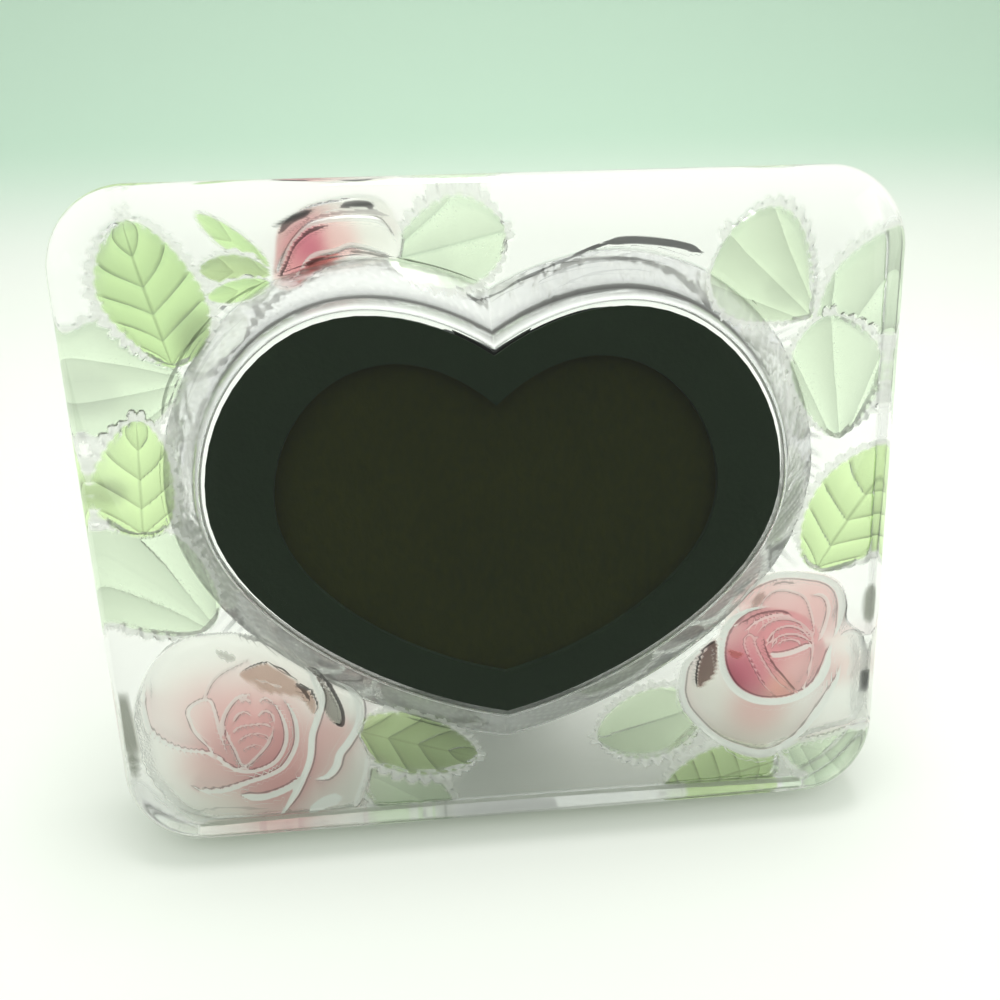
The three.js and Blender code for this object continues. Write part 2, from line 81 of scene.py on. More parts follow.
# Outlines on the face. Half an outline runs from the top of the middle line down the right side to its bottom.
slab = {
    "width": 170.0, "height": 140.0, "depth": 25.0, "corner": 17.0,
    "frontRun": 16.0, "frontRise": 6.0, "backRound": 1.2,
}
heart = {
    "notchZ": 35.0, "lobeX": 26.8, "lobeZ": 44.0, "halfWidth": 60.5, "widestZ": 7.4, "tipZ": -43.6,
    # how far each handle reaches: across and up, as shares of the run between its ends
    "fromNotch": (0.29, 0.6), "toLobe": 0.65, "fromLobe": 0.57, "toWidest": 0.52, "fromWidest": 0.475,
    "toTip": (0.44, 0.117),
}
pocket = {"floor": 7.5, "margin": 1.7, "fillet": 1.2, "wallDepth": 8.5, "wallDraft": 1.8, "flare": 8.0}


def bezier(points, steps):
    # cubic curve from the first point to the last, led by the two between
    t = np.linspace(0.0, 1.0, steps)[:, None]
    a, b, c, d = np.array(points, float)
    return (1 - t) ** 3 * a + 3 * (1 - t) ** 2 * t * b + 3 * (1 - t) * t * t * c + t ** 3 * d


def heartHalf(h, steps=300):
    # three curves: notch to lobe, lobe to widest point, widest point to tip
    rise = h["lobeZ"] - h["notchZ"]
    fall = h["widestZ"] - h["tipZ"]
    reach = h["halfWidth"] - h["lobeX"]
    drop = h["lobeZ"] - h["widestZ"]
    notch, lobe = (0.0, h["notchZ"]), (h["lobeX"], h["lobeZ"])
    widest, tip = (h["halfWidth"], h["widestZ"]), (0.0, h["tipZ"])
    (outX, outZ), (inX, inZ) = h["fromNotch"], h["toTip"]
    parts = [
        (notch, (outX * h["lobeX"], h["notchZ"] + outZ * rise), (h["toLobe"] * h["lobeX"], h["lobeZ"]), lobe),
        (lobe, (h["lobeX"] + h["fromLobe"] * reach, h["lobeZ"]),
         (h["halfWidth"], h["widestZ"] + h["toWidest"] * drop), widest),
        (widest, (h["halfWidth"], h["widestZ"] - h["fromWidest"] * fall),
         (inX * h["halfWidth"], h["tipZ"] + inZ * fall), tip),
    ]
    return np.concatenate([bezier(part, steps)[1 if i else 0:] for i, part in enumerate(parts)])


def offsetHalf(half, offset):
    # half an outline moved out along its normals, clipped or lengthened to end on the middle line
    along = np.gradient(half, axis=0)
    along /= np.linalg.norm(along, axis=1)[:, None]
    moved = half + offset * np.stack([-along[:, 1], along[:, 0]], 1)
    kept = moved[moved[:, 0] > 1e-6]
    slopes = [(kept[b, 1] - kept[a, 1]) / (kept[b, 0] - kept[a, 0]) for a, b in ((0, 1), (-1, -2))]
    first = (0.0, kept[0, 1] - slopes[0] * kept[0, 0])
    last = (0.0, kept[-1, 1] - slopes[1] * kept[-1, 0])
    return np.vstack([first, kept, last])


def slabHalf(inset, steps=120):
    # half a rounded rectangle drawn in by inset: the two corners are quarter circles
    radius = max(slab["corner"] - inset, 1.0)
    x, z = slab["width"] / 2 - inset - radius, slab["height"] / 2 - inset - radius
    quarter = np.linspace(0.0, math.pi / 2, steps)
    upper = np.stack([x + radius * np.sin(quarter), z + radius * np.cos(quarter)], 1)
    lower = np.stack([x + radius * np.cos(quarter), -z - radius * np.sin(quarter)], 1)
    return np.vstack([(0.0, z + radius), upper, lower, (0.0, -z - radius)])


def spaced(half, shares):
    # points at given shares of the outline's length
    steps = np.linalg.norm(np.diff(half, axis=0), axis=1)
    length = np.concatenate([[0.0], np.cumsum(steps)])
    return np.stack([np.interp(shares * length[-1], length, half[:, k]) for k in (0, 1)], 1)


def wholeRing(half, shares):
    # the right half and its mirror image as one ring, clockwise from the top as seen from the front
    points = spaced(half, shares)
    return np.vstack([points, points[-2:0:-1] * (-1.0, 1.0)])


def meshPiece(name, points, faces, material, body):
    mesh = bpy.data.meshes.new(name)
    mesh.from_pydata(points.reshape(-1, 3).tolist(), [], faces)
    mesh.update()
    mesh.shade_smooth()
    mesh.materials.append(material)
    piece = bpy.data.objects.new(name, mesh)
    bpy.context.scene.collection.objects.link(piece)
    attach(piece, body)
    return piece


# Shader maths: a Value wraps an output socket, so that expressions on it add their own Math nodes
class Value:
    def __init__(self, paint, socket):
        self.paint = paint
        self.socket = socket

    def maths(self, operation, first, second):
        return self.paint.node("ShaderNodeMath", {"operation": operation}, {0: first, 1: second})

    def __add__(self, other):
        return self.maths("ADD", self, other)

    __radd__ = __add__

    def __sub__(self, other):
        return self.maths("SUBTRACT", self, other)

    def __rsub__(self, other):
        return self.maths("SUBTRACT", other, self)

    def __mul__(self, other):
        return self.maths("MULTIPLY", self, other)

    __rmul__ = __mul__

    def larger(self, other):
        return self.maths("MAXIMUM", self, other)

    def abs(self):
        return self.maths("ABSOLUTE", self, 0.0)

    def fract(self):
        return self.maths("FRACT", self, 0.0)

    def clamped(self):
        return self.paint.node("ShaderNodeClamp", None, {0: self})


class Paint:
    # one material's node tree; node() adds any node: its type, its settings, then its sockets
    def __init__(self, name, tree=None):
        if tree is None:
            self.material = bpy.data.materials.new(name)
            self.material.use_nodes = True
            tree = self.material.node_tree
        self.tree = tree
        self.tree.nodes.clear()

    def node(self, kind, settings=None, sockets=None, output=0):
        made = self.tree.nodes.new(kind)
        for key, value in (settings or {}).items():
            setattr(made, key, value)
        for key, value in (sockets or {}).items():
            if isinstance(value, Value):
                self.tree.links.new(value.socket, made.inputs[key])
            elif value is not None:
                made.inputs[key].default_value = value
        return Value(self, made.outputs[output]) if made.outputs else None

    def mix(self, factor, first, second):
        # colours mixed by a factor
        settings = {"data_type": "RGBA"}
        first = first if isinstance(first, Value) else (*first, 1.0)
        second = second if isinstance(second, Value) else (*second, 1.0)
        return self.node("ShaderNodeMix", settings, {0: factor, 6: first, 7: second}, 2)

    def squared(self, colour):
        # glass tints by the root of its base colour, so a stain that is to come out as written goes in squared
        settings = {"data_type": "RGBA", "blend_type": "MULTIPLY"}
        return self.node("ShaderNodeMix", settings, {0: 1.0, 6: colour, 7: colour}, 2)

    def blend(self, factor, first, second):
        # shaders mixed by a factor
        return self.node("ShaderNodeMixShader", None, {0: factor, 1: first, 2: second})

    def attribute(self, name, output):
        return self.node("ShaderNodeAttribute", {"attribute_name": name}, None, output)

    def axis(self, vector, index):
        return self.node("ShaderNodeSeparateXYZ", None, {0: vector}, index)

    def step(self, value, low, high):
        # smooth step up from low to high, or down when low is the larger
        settings = {"interpolation_type": "SMOOTHSTEP"}
        rising = low < high
        ends = {0: value, 1: min(low, high), 2: max(low, high), 3: float(not rising), 4: float(rising)}
        return self.node("ShaderNodeMapRange", settings, ends)

    def noise(self, scale, detail, place=None):
        place = place or self.node("ShaderNodeTexCoord", output=3)
        return self.node("ShaderNodeTexNoise", None, {"Vector": place, "Scale": scale, "Detail": detail})

    def bump(self, height, distance):
        return self.node("ShaderNodeBump", None, {"Height": height, "Distance": distance, "Strength": 1.0})

    def ray(self, output):
        return self.node("ShaderNodeLightPath", None, None, output)

    def bent(self):
        # rays that came off a gloss or through the glass
        return self.ray("Is Reflection Ray").larger(self.ray("Is Transmission Ray"))

    def turned(self, bounces):
        # rays mirrored by the glass, outside or inside it, as against those that went straight through
        return self.ray("Is Reflection Ray").larger(self.step(self.ray("Ray Depth"), bounces, bounces + 0.5))

    def finish(self, shader):
        self.node("ShaderNodeOutputMaterial", None, {"Surface": shader})
        return self.material


# Relief pressed into the back, as seen from the front: leaves, sepals, a bud and two roses, in face millimetres.
# Stains are what the etched glass lets through; lee is painted shade behind ridges, and umber, fawn, slate and dark
# are painted dark reflections and shade.
stainsAndShades = {
    "fresh": (0.72, 0.94, 0.50),
    "spring": (0.80, 1.0, 0.56),
    "pale": (0.88, 1.0, 0.82),
    "mist": (0.84, 0.96, 0.76),
    "moss": (0.60, 0.74, 0.40),
    "fern": (0.68, 0.84, 0.46),
    "rim": (1.0, 1.0, 0.98),
    "milk": (1.0, 1.0, 0.96),
    # painted shade behind ridges
    "lee": (0.24, 0.40, 0.36),
    "cream": (0.95, 0.88, 0.80),
    "smoke": (0.74, 0.72, 0.64),
    "dusty": (0.84, 0.46, 0.46),
    "rosy": (0.90, 0.60, 0.58),
    "blush": (0.93, 0.74, 0.71),
    "pink": (0.78, 0.33, 0.36),
    "deep": (0.62, 0.16, 0.24),
    "salmon": (0.96, 0.52, 0.42),
    # umber, fawn and slate here, and dark below, are painted dark reflections and shade; rust is a stain
    "umber": (0.30, 0.20, 0.17),
    "fawn": (0.52, 0.36, 0.30),
    "slate": (0.34, 0.35, 0.31),
    "rust": (0.62, 0.17, 0.15),
    "dark": (0.05, 0.05, 0.045),
}
# Each leaf: stem, tip, half width left and right of the rib and the share of the length where each is reached,
# stain, veins and how far they sweep forward, or folds that fan out from the stem, how dark the veins are, how
# dark the painted shade on the facets between them is, and a patch of painted shade
leaves = [
    {"from": (-65, 32), "to": (-87, 33), "half": (12.5, 12.5), "widest": (0.6, 0.6), "stainAndShade": "pale", "fan": 5,
     "ink": 0.05, "facetShade": 0.30, "patch": (-82, 30, 5, 0.2)},
    {"from": (-65, -23), "to": (-86, -1), "half": (11, 11.5), "widest": (0.5, 0.5), "stainAndShade": "pale", "fan": 5,
     "ink": 0.08, "facetShade": 0.29},
    {"from": (-76.5, -1.5), "to": (-75, 24), "half": (7.2, 6.8), "widest": (0.42, 0.42), "stainAndShade": "spring",
     "veins": 4, "sweep": 0.5, "ink": 0.6, "facetShade": 0.27, "patch": (-81, 9, 3, 0.35)},
    {"from": (-66.6, 34.5), "to": (-72.8, 62), "half": (8.4, 11.2), "widest": (0.58, 0.40), "stainAndShade": "fresh",
     "veins": 5, "sweep": 0.45, "ink": 0.75, "facetShade": 0.27, "patch": (-60.5, 41, 5.5, 0.38)},
    {"from": (-20.5, 54.5), "to": (4, 58.8), "half": (7.2, 8.2), "widest": (0.55, 0.58), "stainAndShade": "pale", "fan": 6,
     "ink": 0.08, "facetShade": 0.18, "patch": (-11, 54.5, 4, 0.08)},
    {"from": (74.5, 29), "to": (88, 57), "half": (8.5, 8.5), "widest": (0.5, 0.5), "stainAndShade": "pale", "fan": 6,
     "ink": 0.2, "facetShade": 0.32},
    {"from": (77.5, 12.5), "to": (74.5, 40), "half": (9.6, 8.4), "widest": (0.6, 0.58), "stainAndShade": "pale", "fan": 6,
     "ink": 0.08, "facetShade": 0.29},
    {"from": (70.5, 39.5), "to": (51.5, 57.2), "half": (12.5, 11.5), "widest": (0.66, 0.64), "stainAndShade": "mist",
     "fan": 6, "ink": 0.05, "facetShade": 0.29, "patch": (63, 45, 4, 0.12)},
    {"from": (74, -18.5), "to": (88, 11), "half": (9, 8.5), "widest": (0.45, 0.45), "stainAndShade": "spring", "veins": 5,
     "sweep": 0.4, "ink": 0.8, "facetShade": 0.30},
    {"from": (67, -62), "to": (87, -66), "half": (5.5, 5), "widest": (0.5, 0.5), "stainAndShade": "pale", "veins": 4,
     "sweep": 0.5, "ink": 0.25, "facetShade": 0.27},
    {"from": (67, -65.5), "to": (38, -70.5), "half": (6, 6), "widest": (0.45, 0.45), "stainAndShade": "fern", "veins": 6,
     "sweep": 0.1, "ink": 0.7, "facetShade": 0.15},
    {"from": (48, -50.5), "to": (22, -57.5), "half": (9.5, 8), "widest": (0.48, 0.48), "stainAndShade": "mist", "fan": 4,
     "ink": 0.1, "facetShade": 0.20},
    {"from": (-36, -61), "to": (-13, -72), "half": (6, 6), "widest": (0.5, 0.5), "stainAndShade": "mist", "fan": 4,
     "ink": 0.0, "facetShade": 0.15},
    {"from": (-35, -51), "to": (-7, -60), "half": (7, 8), "widest": (0.42, 0.42), "stainAndShade": "moss", "veins": 4,
     "sweep": 0.5, "ink": 0.4, "facetShade": 0.30},
    {"from": (-45, 54.5), "to": (-58.5, 62.5), "half": (1.8, 1.8), "widest": (0.5, 0.5), "stainAndShade": "fresh", "veins": 2,
     "sweep": 0.5, "ink": 0.2, "facetShade": 0.20},
    {"from": (-45, 53), "to": (-59, 54), "half": (2.6, 3), "widest": (0.5, 0.5), "stainAndShade": "moss", "veins": 2,
     "sweep": 0.5, "ink": 0.2, "facetShade": 0.20},
    {"from": (-45, 51), "to": (-58, 48.5), "half": (2.2, 2.2), "widest": (0.5, 0.5), "stainAndShade": "fresh", "veins": 2,
     "sweep": 0.5, "ink": 0.2, "facetShade": 0.20},
]
# Each flower: the outline of its etched ground, its dome (place, radius, height), stain sprayed over it (place,
# radius, stain, strength), more of it inside its cup, patches and ridges; its dark patches are painted dark
# reflections and shade. A ridge is a smooth line: its points, half width, white (above 0) or dark with painted shade
# (below 0), the side on which the glass drops behind it and painted shade falls, and how far.
leftRose = {
    "outline": [
        (-80, -35), (-77.5, -30), (-74.7, -27), (-71, -25.3), (-66, -24.8), (-61, -25), (-56, -26), (-51.5, -28.5),
        (-47, -32), (-42, -36), (-37, -39.5), (-33.8, -43.5), (-33.4, -47.5), (-35, -51), (-33.5, -55), (-32.5, -60),
        (-34, -66), (-37, -69.5), (-50, -70.5), (-65, -70.5), (-74, -68.5), (-78.5, -64), (-81, -58), (-81.6, -50),
        (-81.6, -42),
    ],
    "ground": "milk", "depth": 1.3, "dome": (-59, -48, 17, 1.3), "frost": 1.2,
    "spray": [
        (-62, -67, 12, "smoke", 0.15), (-40, -63, 9, "smoke", 0.35), (-70, -41, 8, "blush", 0.5),
        (-64, -64, 8, "cream", 0.4), (-45, -56, 8, "rosy", 0.7), (-59, -47, 13, "rosy", 0.9),
        (-58, -53, 12, "dusty", 0.85), (-54, -61, 8, "dusty", 0.9), (-70, -57, 6, "rosy", 0.6),
        (-40, -51, 5, "rosy", 0.75), (-60, -47, 4, "dusty", 0.4),
    ],
    "patches": [
        ([(-60, -34.6), (-57.7, -33.3), (-54.2, -32.4), (-51.5, -33.8), (-49.4, -35.5), (-47.4, -37.9), (-44.8, -40),
          (-43.7, -43.5), (-44.5, -45.7), (-46.2, -42.4), (-48.3, -40.9), (-51.6, -40), (-55, -39.2), (-57.1, -37.4)],
         "fawn", 0.9),
        ([(-44.7, -34.2), (-43.1, -35), (-41.5, -38.3), (-39.8, -41), (-38.2, -45.5), (-38.4, -49), (-40.5, -47.9),
          (-42.1, -44.6), (-42.3, -40.2), (-43.6, -36.6)], "slate", 0.9),
        ([(-65, -28.6), (-62.5, -29.2), (-60.4, -30.8), (-62.6, -31.2)], "slate", 0.7),
    ],
    "ridges": [
        ([(-77.5, -30), (-74.7, -27), (-71, -25.3), (-66, -24.9), (-61, -25), (-56, -26.3), (-51.5, -29)],
         0.35, -0.35, 0, 0.0),
        ([(-60, -25.6), (-55.9, -27), (-52.7, -28.8), (-49.6, -31.2)], 0.4, -0.6, 0, 0.0),
        ([(-79.3, -35), (-80, -40), (-79.8, -46), (-77.5, -50), (-74, -52.3), (-70.5, -53), (-67.5, -54.3),
          (-65.2, -57), (-61.8, -59), (-58.3, -58.9), (-54.5, -57.3), (-52, -54), (-51, -50.3), (-51.4, -46.3),
          (-52.7, -43), (-54, -41.3)], 0.55, 1.0, 1, 0.7),
        ([(-75, -61), (-71.8, -62.6), (-68.4, -63.1), (-65.2, -62.8), (-60, -61.5), (-56, -60.4), (-52.5, -58.6),
          (-50.2, -55.5), (-48.8, -52), (-48.6, -47.5), (-49.6, -43.6), (-51.4, -40.6)], 0.6, 1.0, 1, 0.7),
        ([(-63.5, -64), (-59.5, -65), (-55.5, -64.7), (-51.3, -63.4), (-48, -61.4)], 0.7, 1.0, 1, 0.6),
        ([(-46, -33.2), (-43.8, -37.2), (-42.3, -42), (-43.6, -46.7), (-45.2, -51), (-46, -56), (-47.2, -59.6),
          (-49.2, -63.3), (-51.8, -66.4), (-55, -69.6)], 0.85, 1.0, 1, 0.8),
        ([(-40, -37.4), (-36.3, -39.6), (-34.2, -43.3), (-33.9, -47), (-34.9, -50.5), (-37.1, -53.7), (-39.3, -56.5),
          (-40.4, -59.6), (-42.6, -61.9), (-46, -62.4)], 1.0, 1.0, 1, 0.6),
        ([(-32.7, -57), (-33.3, -61.5), (-35, -65.5), (-37.2, -69)], 0.9, 0.6, 1, 0.4),
        ([(-68.8, -40.6), (-67.2, -36.9), (-64.7, -34.3), (-61.1, -32.4), (-57.5, -31)], 0.4, 0.6, -1, 0.4),
        ([(-66.9, -54.9), (-68.9, -51.9), (-71.3, -47.9), (-72.4, -42.8), (-69.9, -40.5), (-67.6, -40.3),
          (-66.7, -42), (-66.2, -45.8), (-65.8, -49.6), (-64.6, -54.8)], 0.5, 0.85, 1, -0.3),
        ([(-65.1, -50), (-65.1, -45.9), (-63.3, -42.3), (-60.7, -39.9), (-57.8, -39.5)], 0.5, 0.85, -1, 0.4),
        ([(-60.9, -41.6), (-59.4, -40.6), (-58, -41.6)], 0.4, 0.8, -1, 0.2),
        ([(-56.8, -41.6), (-54.8, -40.7), (-53.1, -42.2)], 0.4, 0.8, -1, 0.2),
        ([(-64.4, -47.2), (-64.1, -49.8), (-63, -53), (-61.5, -57.5), (-57.8, -54.7), (-55.2, -51.7), (-53.6, -48.1)],
         0.45, 0.9, -1, 0.4),
        ([(-63, -46.6), (-61.4, -44.2), (-59.4, -43.8), (-58, -45.6)], 0.4, 0.85, -1, 0.3),
        ([(-57.4, -45.4), (-55.4, -43.8), (-53.8, -45), (-53.4, -47.5)], 0.4, 0.85, -1, 0.3),
        ([(-63.6, -49.2), (-61.5, -47.4), (-58.2, -47), (-55.4, -47.2), (-53.8, -48.6)], 0.4, 0.85, -1, 0.3),
        ([(-62.4, -51.4), (-60.4, -49.8), (-58.3, -49.3), (-56, -49.8), (-54.8, -51)], 0.35, 0.75, -1, 0.25),
        ([(-61.4, -53.4), (-59.6, -52.4), (-57.8, -52.2), (-56.6, -53)], 0.35, 0.7, -1, 0.2),
        ([(-60.2, -34.4), (-57.7, -33), (-54.2, -32.1), (-51.3, -33.5), (-49.2, -35.2), (-47.1, -37.6),
          (-44.5, -39.8), (-43.4, -43.5), (-44.2, -46)], 0.3, -0.9, 0, 0.0),
        ([(-57.5, -35.8), (-53.6, -37.2), (-50.4, -38.9)], 0.4, 0.5, 0, 0.0),
        ([(-48, -37.6), (-45.9, -40.2), (-45, -42.6)], 0.5, -0.7, 0, 0.0),
        ([(-44.6, -33.6), (-42.8, -34.8), (-41.1, -38), (-39.4, -41), (-37.9, -45.5), (-38.2, -49.2), (-40.6, -48)],
         0.5, -0.9, 0, 0.0),
        ([(-78, -67), (-68, -66.4), (-56, -67.4)], 0.3, -0.3, 0, 0.0),
        ([(-76, -69), (-66, -68.2), (-58, -69)], 0.5, 0.9, 0, 0.0),
        ([(-48, -69.4), (-44, -67.2), (-39.5, -66.4)], 1.2, 1.0, 0, 0.0),
    ],
}
rightRose = {
    "outline": [
        (51, -33.5), (53, -29), (56.3, -25), (58, -22.3), (61, -19.7), (64.6, -18.5), (68.5, -18.4), (73, -18.9),
        (77, -20), (79.6, -22.6), (80.6, -27), (80.7, -31), (83, -35), (83.8, -42), (83.8, -52), (83.2, -58),
        (78, -60.5), (71.5, -62.5), (67, -64), (62.7, -65), (57.7, -64), (53, -62), (49, -59), (45.8, -55.3),
        (43, -51.5), (41.8, -47.6), (42, -44), (43, -40), (45.3, -37.5),
    ],
    "ground": "milk", "depth": 1.3, "dome": (65, -40, 16, 1.4), "frost": 1.3,
    "spray": [
        (58, -58, 11, "smoke", 0.7), (48, -46, 6, "smoke", 0.5), (69, -56, 7, "smoke", 0.35),
        (61, -52, 7.5, "rosy", 0.85), (79, -43, 4.5, "blush", 0.8), (74, -27, 9, "rosy", 0.85),
        (61, -24, 7, "rosy", 0.7), (65, -36, 11, "pink", 0.6),
    ],
    "cup": [
        (64, -27), (58.7, -27.4), (55, -29.4), (53, -32.3), (52, -36.5), (52.4, -40.8), (54, -44.5), (56.6, -47.5),
        (60.4, -49.7), (64.8, -50.5), (69.2, -50.1), (72.9, -48.5), (75.4, -46), (76.7, -42.3), (77, -38.6),
        (75, -33), (71, -29),
    ],
    "cupSpray": [
        (64, -38, 14, "pink", 0.9), (55, -43, 7, "deep", 0.9), (58, -47, 5, "deep", 0.4),
        (67, -47.5, 4, "salmon", 0.85), (71, -42, 5, "rosy", 0.8), (68, -33, 6, "pink", 0.5),
    ],
    "patches": [
        ([(50.8, -34.5), (48.2, -36.3), (46.6, -39.4), (46, -43.2), (46.4, -46), (47.6, -45.4), (50, -43.2),
          (50.9, -40.4)], "umber", 0.92),
        ([(53.2, -36.8), (55, -37), (57, -37.8), (55, -39)], "rust", 0.7),
        ([(58.6, -26.4), (60, -23.6), (62, -23), (61, -26)], "umber", 0.7),
    ],
    "ridges": [
        ([(55.5, -27), (57.4, -23.4), (60.8, -20.6), (64.6, -19.3), (68.4, -19.2), (72.4, -19.8), (76.2, -20.8),
          (78.7, -23.2), (79.7, -27.2), (79.3, -31.6), (77.9, -36)], 0.8, 0.9, -1, 0.5),
        ([(60.5, -27), (61.7, -24.8), (63.8, -23), (66.6, -22.7), (70.2, -23.8), (72.1, -25.6), (73.3, -28.8),
          (74, -32), (74.2, -36)], 0.35, 0.7, -1, 0.4),
        ([(63.4, -21.4), (66.4, -20.8), (69.6, -21.4)], 0.3, -0.5, 0, 0.0),
        ([(72.8, -24.2), (75.8, -24.6), (77.1, -27.6), (76.5, -32), (75.2, -36.4)], 0.45, 0.8, -1, 0.3),
        ([(64, -26.4), (58.7, -27), (55, -29.1), (52.8, -32.2), (51.8, -36.5), (52.2, -40.8), (53.8, -44.7),
          (56.4, -47.8), (60.3, -50), (64.8, -50.8), (69.2, -50.4), (73, -48.8), (75.7, -46.2), (77, -42.5),
          (77.4, -38.9), (78, -36)], 1.0, 1.0, 1, 1.0),
        ([(55.5, -31), (59.2, -28.8), (63, -27.8), (66.6, -28), (69, -29.4)], 0.35, -0.6, 0, 0.0),
        ([(56.6, -32.6), (60, -30.2), (63.4, -28.9), (66.4, -28.8), (69.6, -30)], 0.4, 0.8, 1, 0.3),
        ([(65.4, -49.4), (62.6, -46.6), (60.4, -42.7), (58.2, -38.2), (57.2, -35), (58.1, -33.2), (59.3, -33.8),
          (60, -36.2), (62.2, -40.6), (65.3, -45.2), (69.4, -48.8)], 0.35, 0.55, 1, -0.3),
        ([(57.4, -36), (58.6, -39), (60.8, -43.2), (63.2, -47)], 0.25, -0.7, 0, 0.0),
        ([(60.2, -35), (60.4, -32.8), (62, -31), (64.6, -29.8), (68, -29.9), (71, -31.2), (73.3, -33.8), (74, -36.6),
          (73.8, -40.4), (73, -44.9), (71.4, -49.4)], 0.35, 0.75, -1, 0.4),
        ([(61.6, -33.4), (62.4, -37), (64.3, -40.8), (67.4, -44.8), (71.2, -49.4)], 0.35, -0.6, 0, 0.0),
        ([(62.6, -37), (62.9, -34.6), (65, -32.2), (68, -31.6), (71, -32.7), (73.4, -35)], 0.35, 0.85, -1, 0.3),
        ([(63.7, -37), (64.4, -35), (66.2, -33.8), (69.2, -33.7), (71.6, -34.6), (73.6, -36)], 0.35, 0.85, -1, 0.3),
        ([(65, -36.6), (66.2, -35.3), (68.4, -35), (70.4, -35.6), (71.2, -36.6)], 0.3, 0.8, -1, 0.2),
        ([(62.8, -38), (65, -38.7), (68.6, -38.3), (71.6, -37.4), (74, -36.6)], 0.7, 0.7, 1, 0.3),
        ([(51.4, -33.8), (49.2, -34.8), (45.5, -38), (43.4, -40.6), (42.7, -44.3), (42.6, -47.6), (43.9, -51.5),
          (46.4, -54.9), (49.6, -58.4), (53.3, -61.2), (57.7, -63.2), (62.7, -64.2), (67, -63.4), (70.8, -61),
          (73.9, -57.3), (76.1, -53.7), (78.1, -49.2), (79.3, -45.2), (80, -41)], 0.9, 1.0, 1, 0.8),
        ([(71.5, -62.3), (76, -61.6), (80, -60.4), (83.6, -58.8)], 0.5, 0.9, 1, 0.4),
        ([(79.4, -35), (81.6, -34.4), (83.6, -36)], 0.5, 0.8, 1, 0.4),
        ([(80.3, -37), (81.8, -41), (81, -46)], 0.6, 0.5, 0, 0.0),
        ([(50.6, -34.6), (48.2, -36.2), (46.5, -39.4), (45.9, -43.2), (46.3, -46.2)], 0.4, -0.95, 0, 0.0),
    ],
}
bud = {
    "outline": [
        (-44.5, 51), (-43.6, 56), (-42.5, 60), (-39, 62.2), (-34, 63.6), (-22, 64), (-18, 60.5), (-17.6, 56.5),
        (-19.4, 54.6), (-24, 55.4), (-28.4, 55.6), (-32, 54.4), (-36, 52.6), (-39, 50.2), (-42, 49.4),
    ],
    "ground": "milk", "depth": 1.2, "dome": (-32, 58, 9, 0.8), "frost": 0.65,
    "spray": [
        (-41, 58, 6, "rosy", 0.85), (-35, 62, 4, "cream", 0.5), (-24, 57.5, 4.5, "smoke", 0.35),
        (-35.5, 57.6, 6, "pink", 1.0), (-39, 54, 5, "pink", 0.85), (-30, 58, 4, "rosy", 0.8),
        (-36.5, 57, 3.2, "deep", 0.75), (-37, 52.5, 3, "pink", 0.8),
    ],
    "patches": [
        ([(-36, 55.4), (-33, 56.4), (-30.8, 56.2), (-31.4, 54.8), (-34.4, 53.8), (-37, 52.4), (-38.6, 50.6),
          (-39.4, 51.4), (-37.8, 53.6)], "rust", 0.8),
        ([(-43.4, 60.6), (-40, 62), (-35.4, 62.9), (-35.6, 62.5), (-39.6, 61.3)], "dark", 0.9),
        ([(-29.6, 63.2), (-26.4, 63.6), (-23, 63.5), (-23.4, 63.1), (-27, 63)], "dark", 0.75),
    ],
    "ridges": [
        ([(-43.6, 52.4), (-42, 55.2), (-39.6, 58.2), (-36, 60.6), (-31.5, 61.4), (-26.3, 61.5), (-21.5, 60.8),
          (-18.6, 57.6)], 0.45, 0.85, 1, 0.4),
        ([(-43.4, 51.6), (-41.6, 54.2), (-39.4, 57.6), (-36, 59.8), (-32, 60.6)], 0.4, -0.8, 0, 0.0),
        ([(-42.6, 59.6), (-39.4, 61.6), (-35.4, 62.7)], 0.6, -0.85, 0, 0.0),
        ([(-30, 63), (-26.4, 63.3), (-22.6, 63)], 0.6, -0.85, 0, 0.0),
        ([(-42, 51.2), (-39.4, 52.6), (-36.6, 54.6), (-33, 55.6)], 0.35, -0.7, 0, 0.0),
        ([(-41.4, 50.4), (-39, 53), (-36, 55.8), (-31.2, 56.6), (-28.2, 57.4), (-24.6, 56.8), (-20, 55.6)],
         0.45, 0.95, -1, 0.4),
        ([(-28.6, 56.4), (-24.6, 56), (-20.2, 55)], 0.25, -0.5, 0, 0.0),
        ([(-44, 50.6), (-41, 49.6), (-38.4, 50.6), (-35, 52.6), (-31, 54.6)], 0.35, 0.7, 1, 0.3),
        ([(-36, 61.6), (-30, 62.4), (-24, 62.4), (-19.6, 61.6)], 0.3, -0.4, 0, 0.0),
        ([(-34, 62.3), (-28, 62.9), (-24, 62.9)], 0.25, 0.9, 0, 0.0),
    ],
}
flowers = [leftRose, rightRose, bud]
# Painted dark reflections by the side edges, where steep clear facets look dark
paintedDarkReflections = [
    [(-83.5, -37), (-83.9, -47), (-83.2, -58), (-82, -59), (-81.6, -50), (-82.1, -39)],
    [(84.6, -22.5), (83.5, -24), (83.2, -28), (83.5, -32), (84.7, -33)],
    [(84.8, -43.5), (83.3, -45), (83.1, -48), (83.6, -51), (84.8, -52)],
]
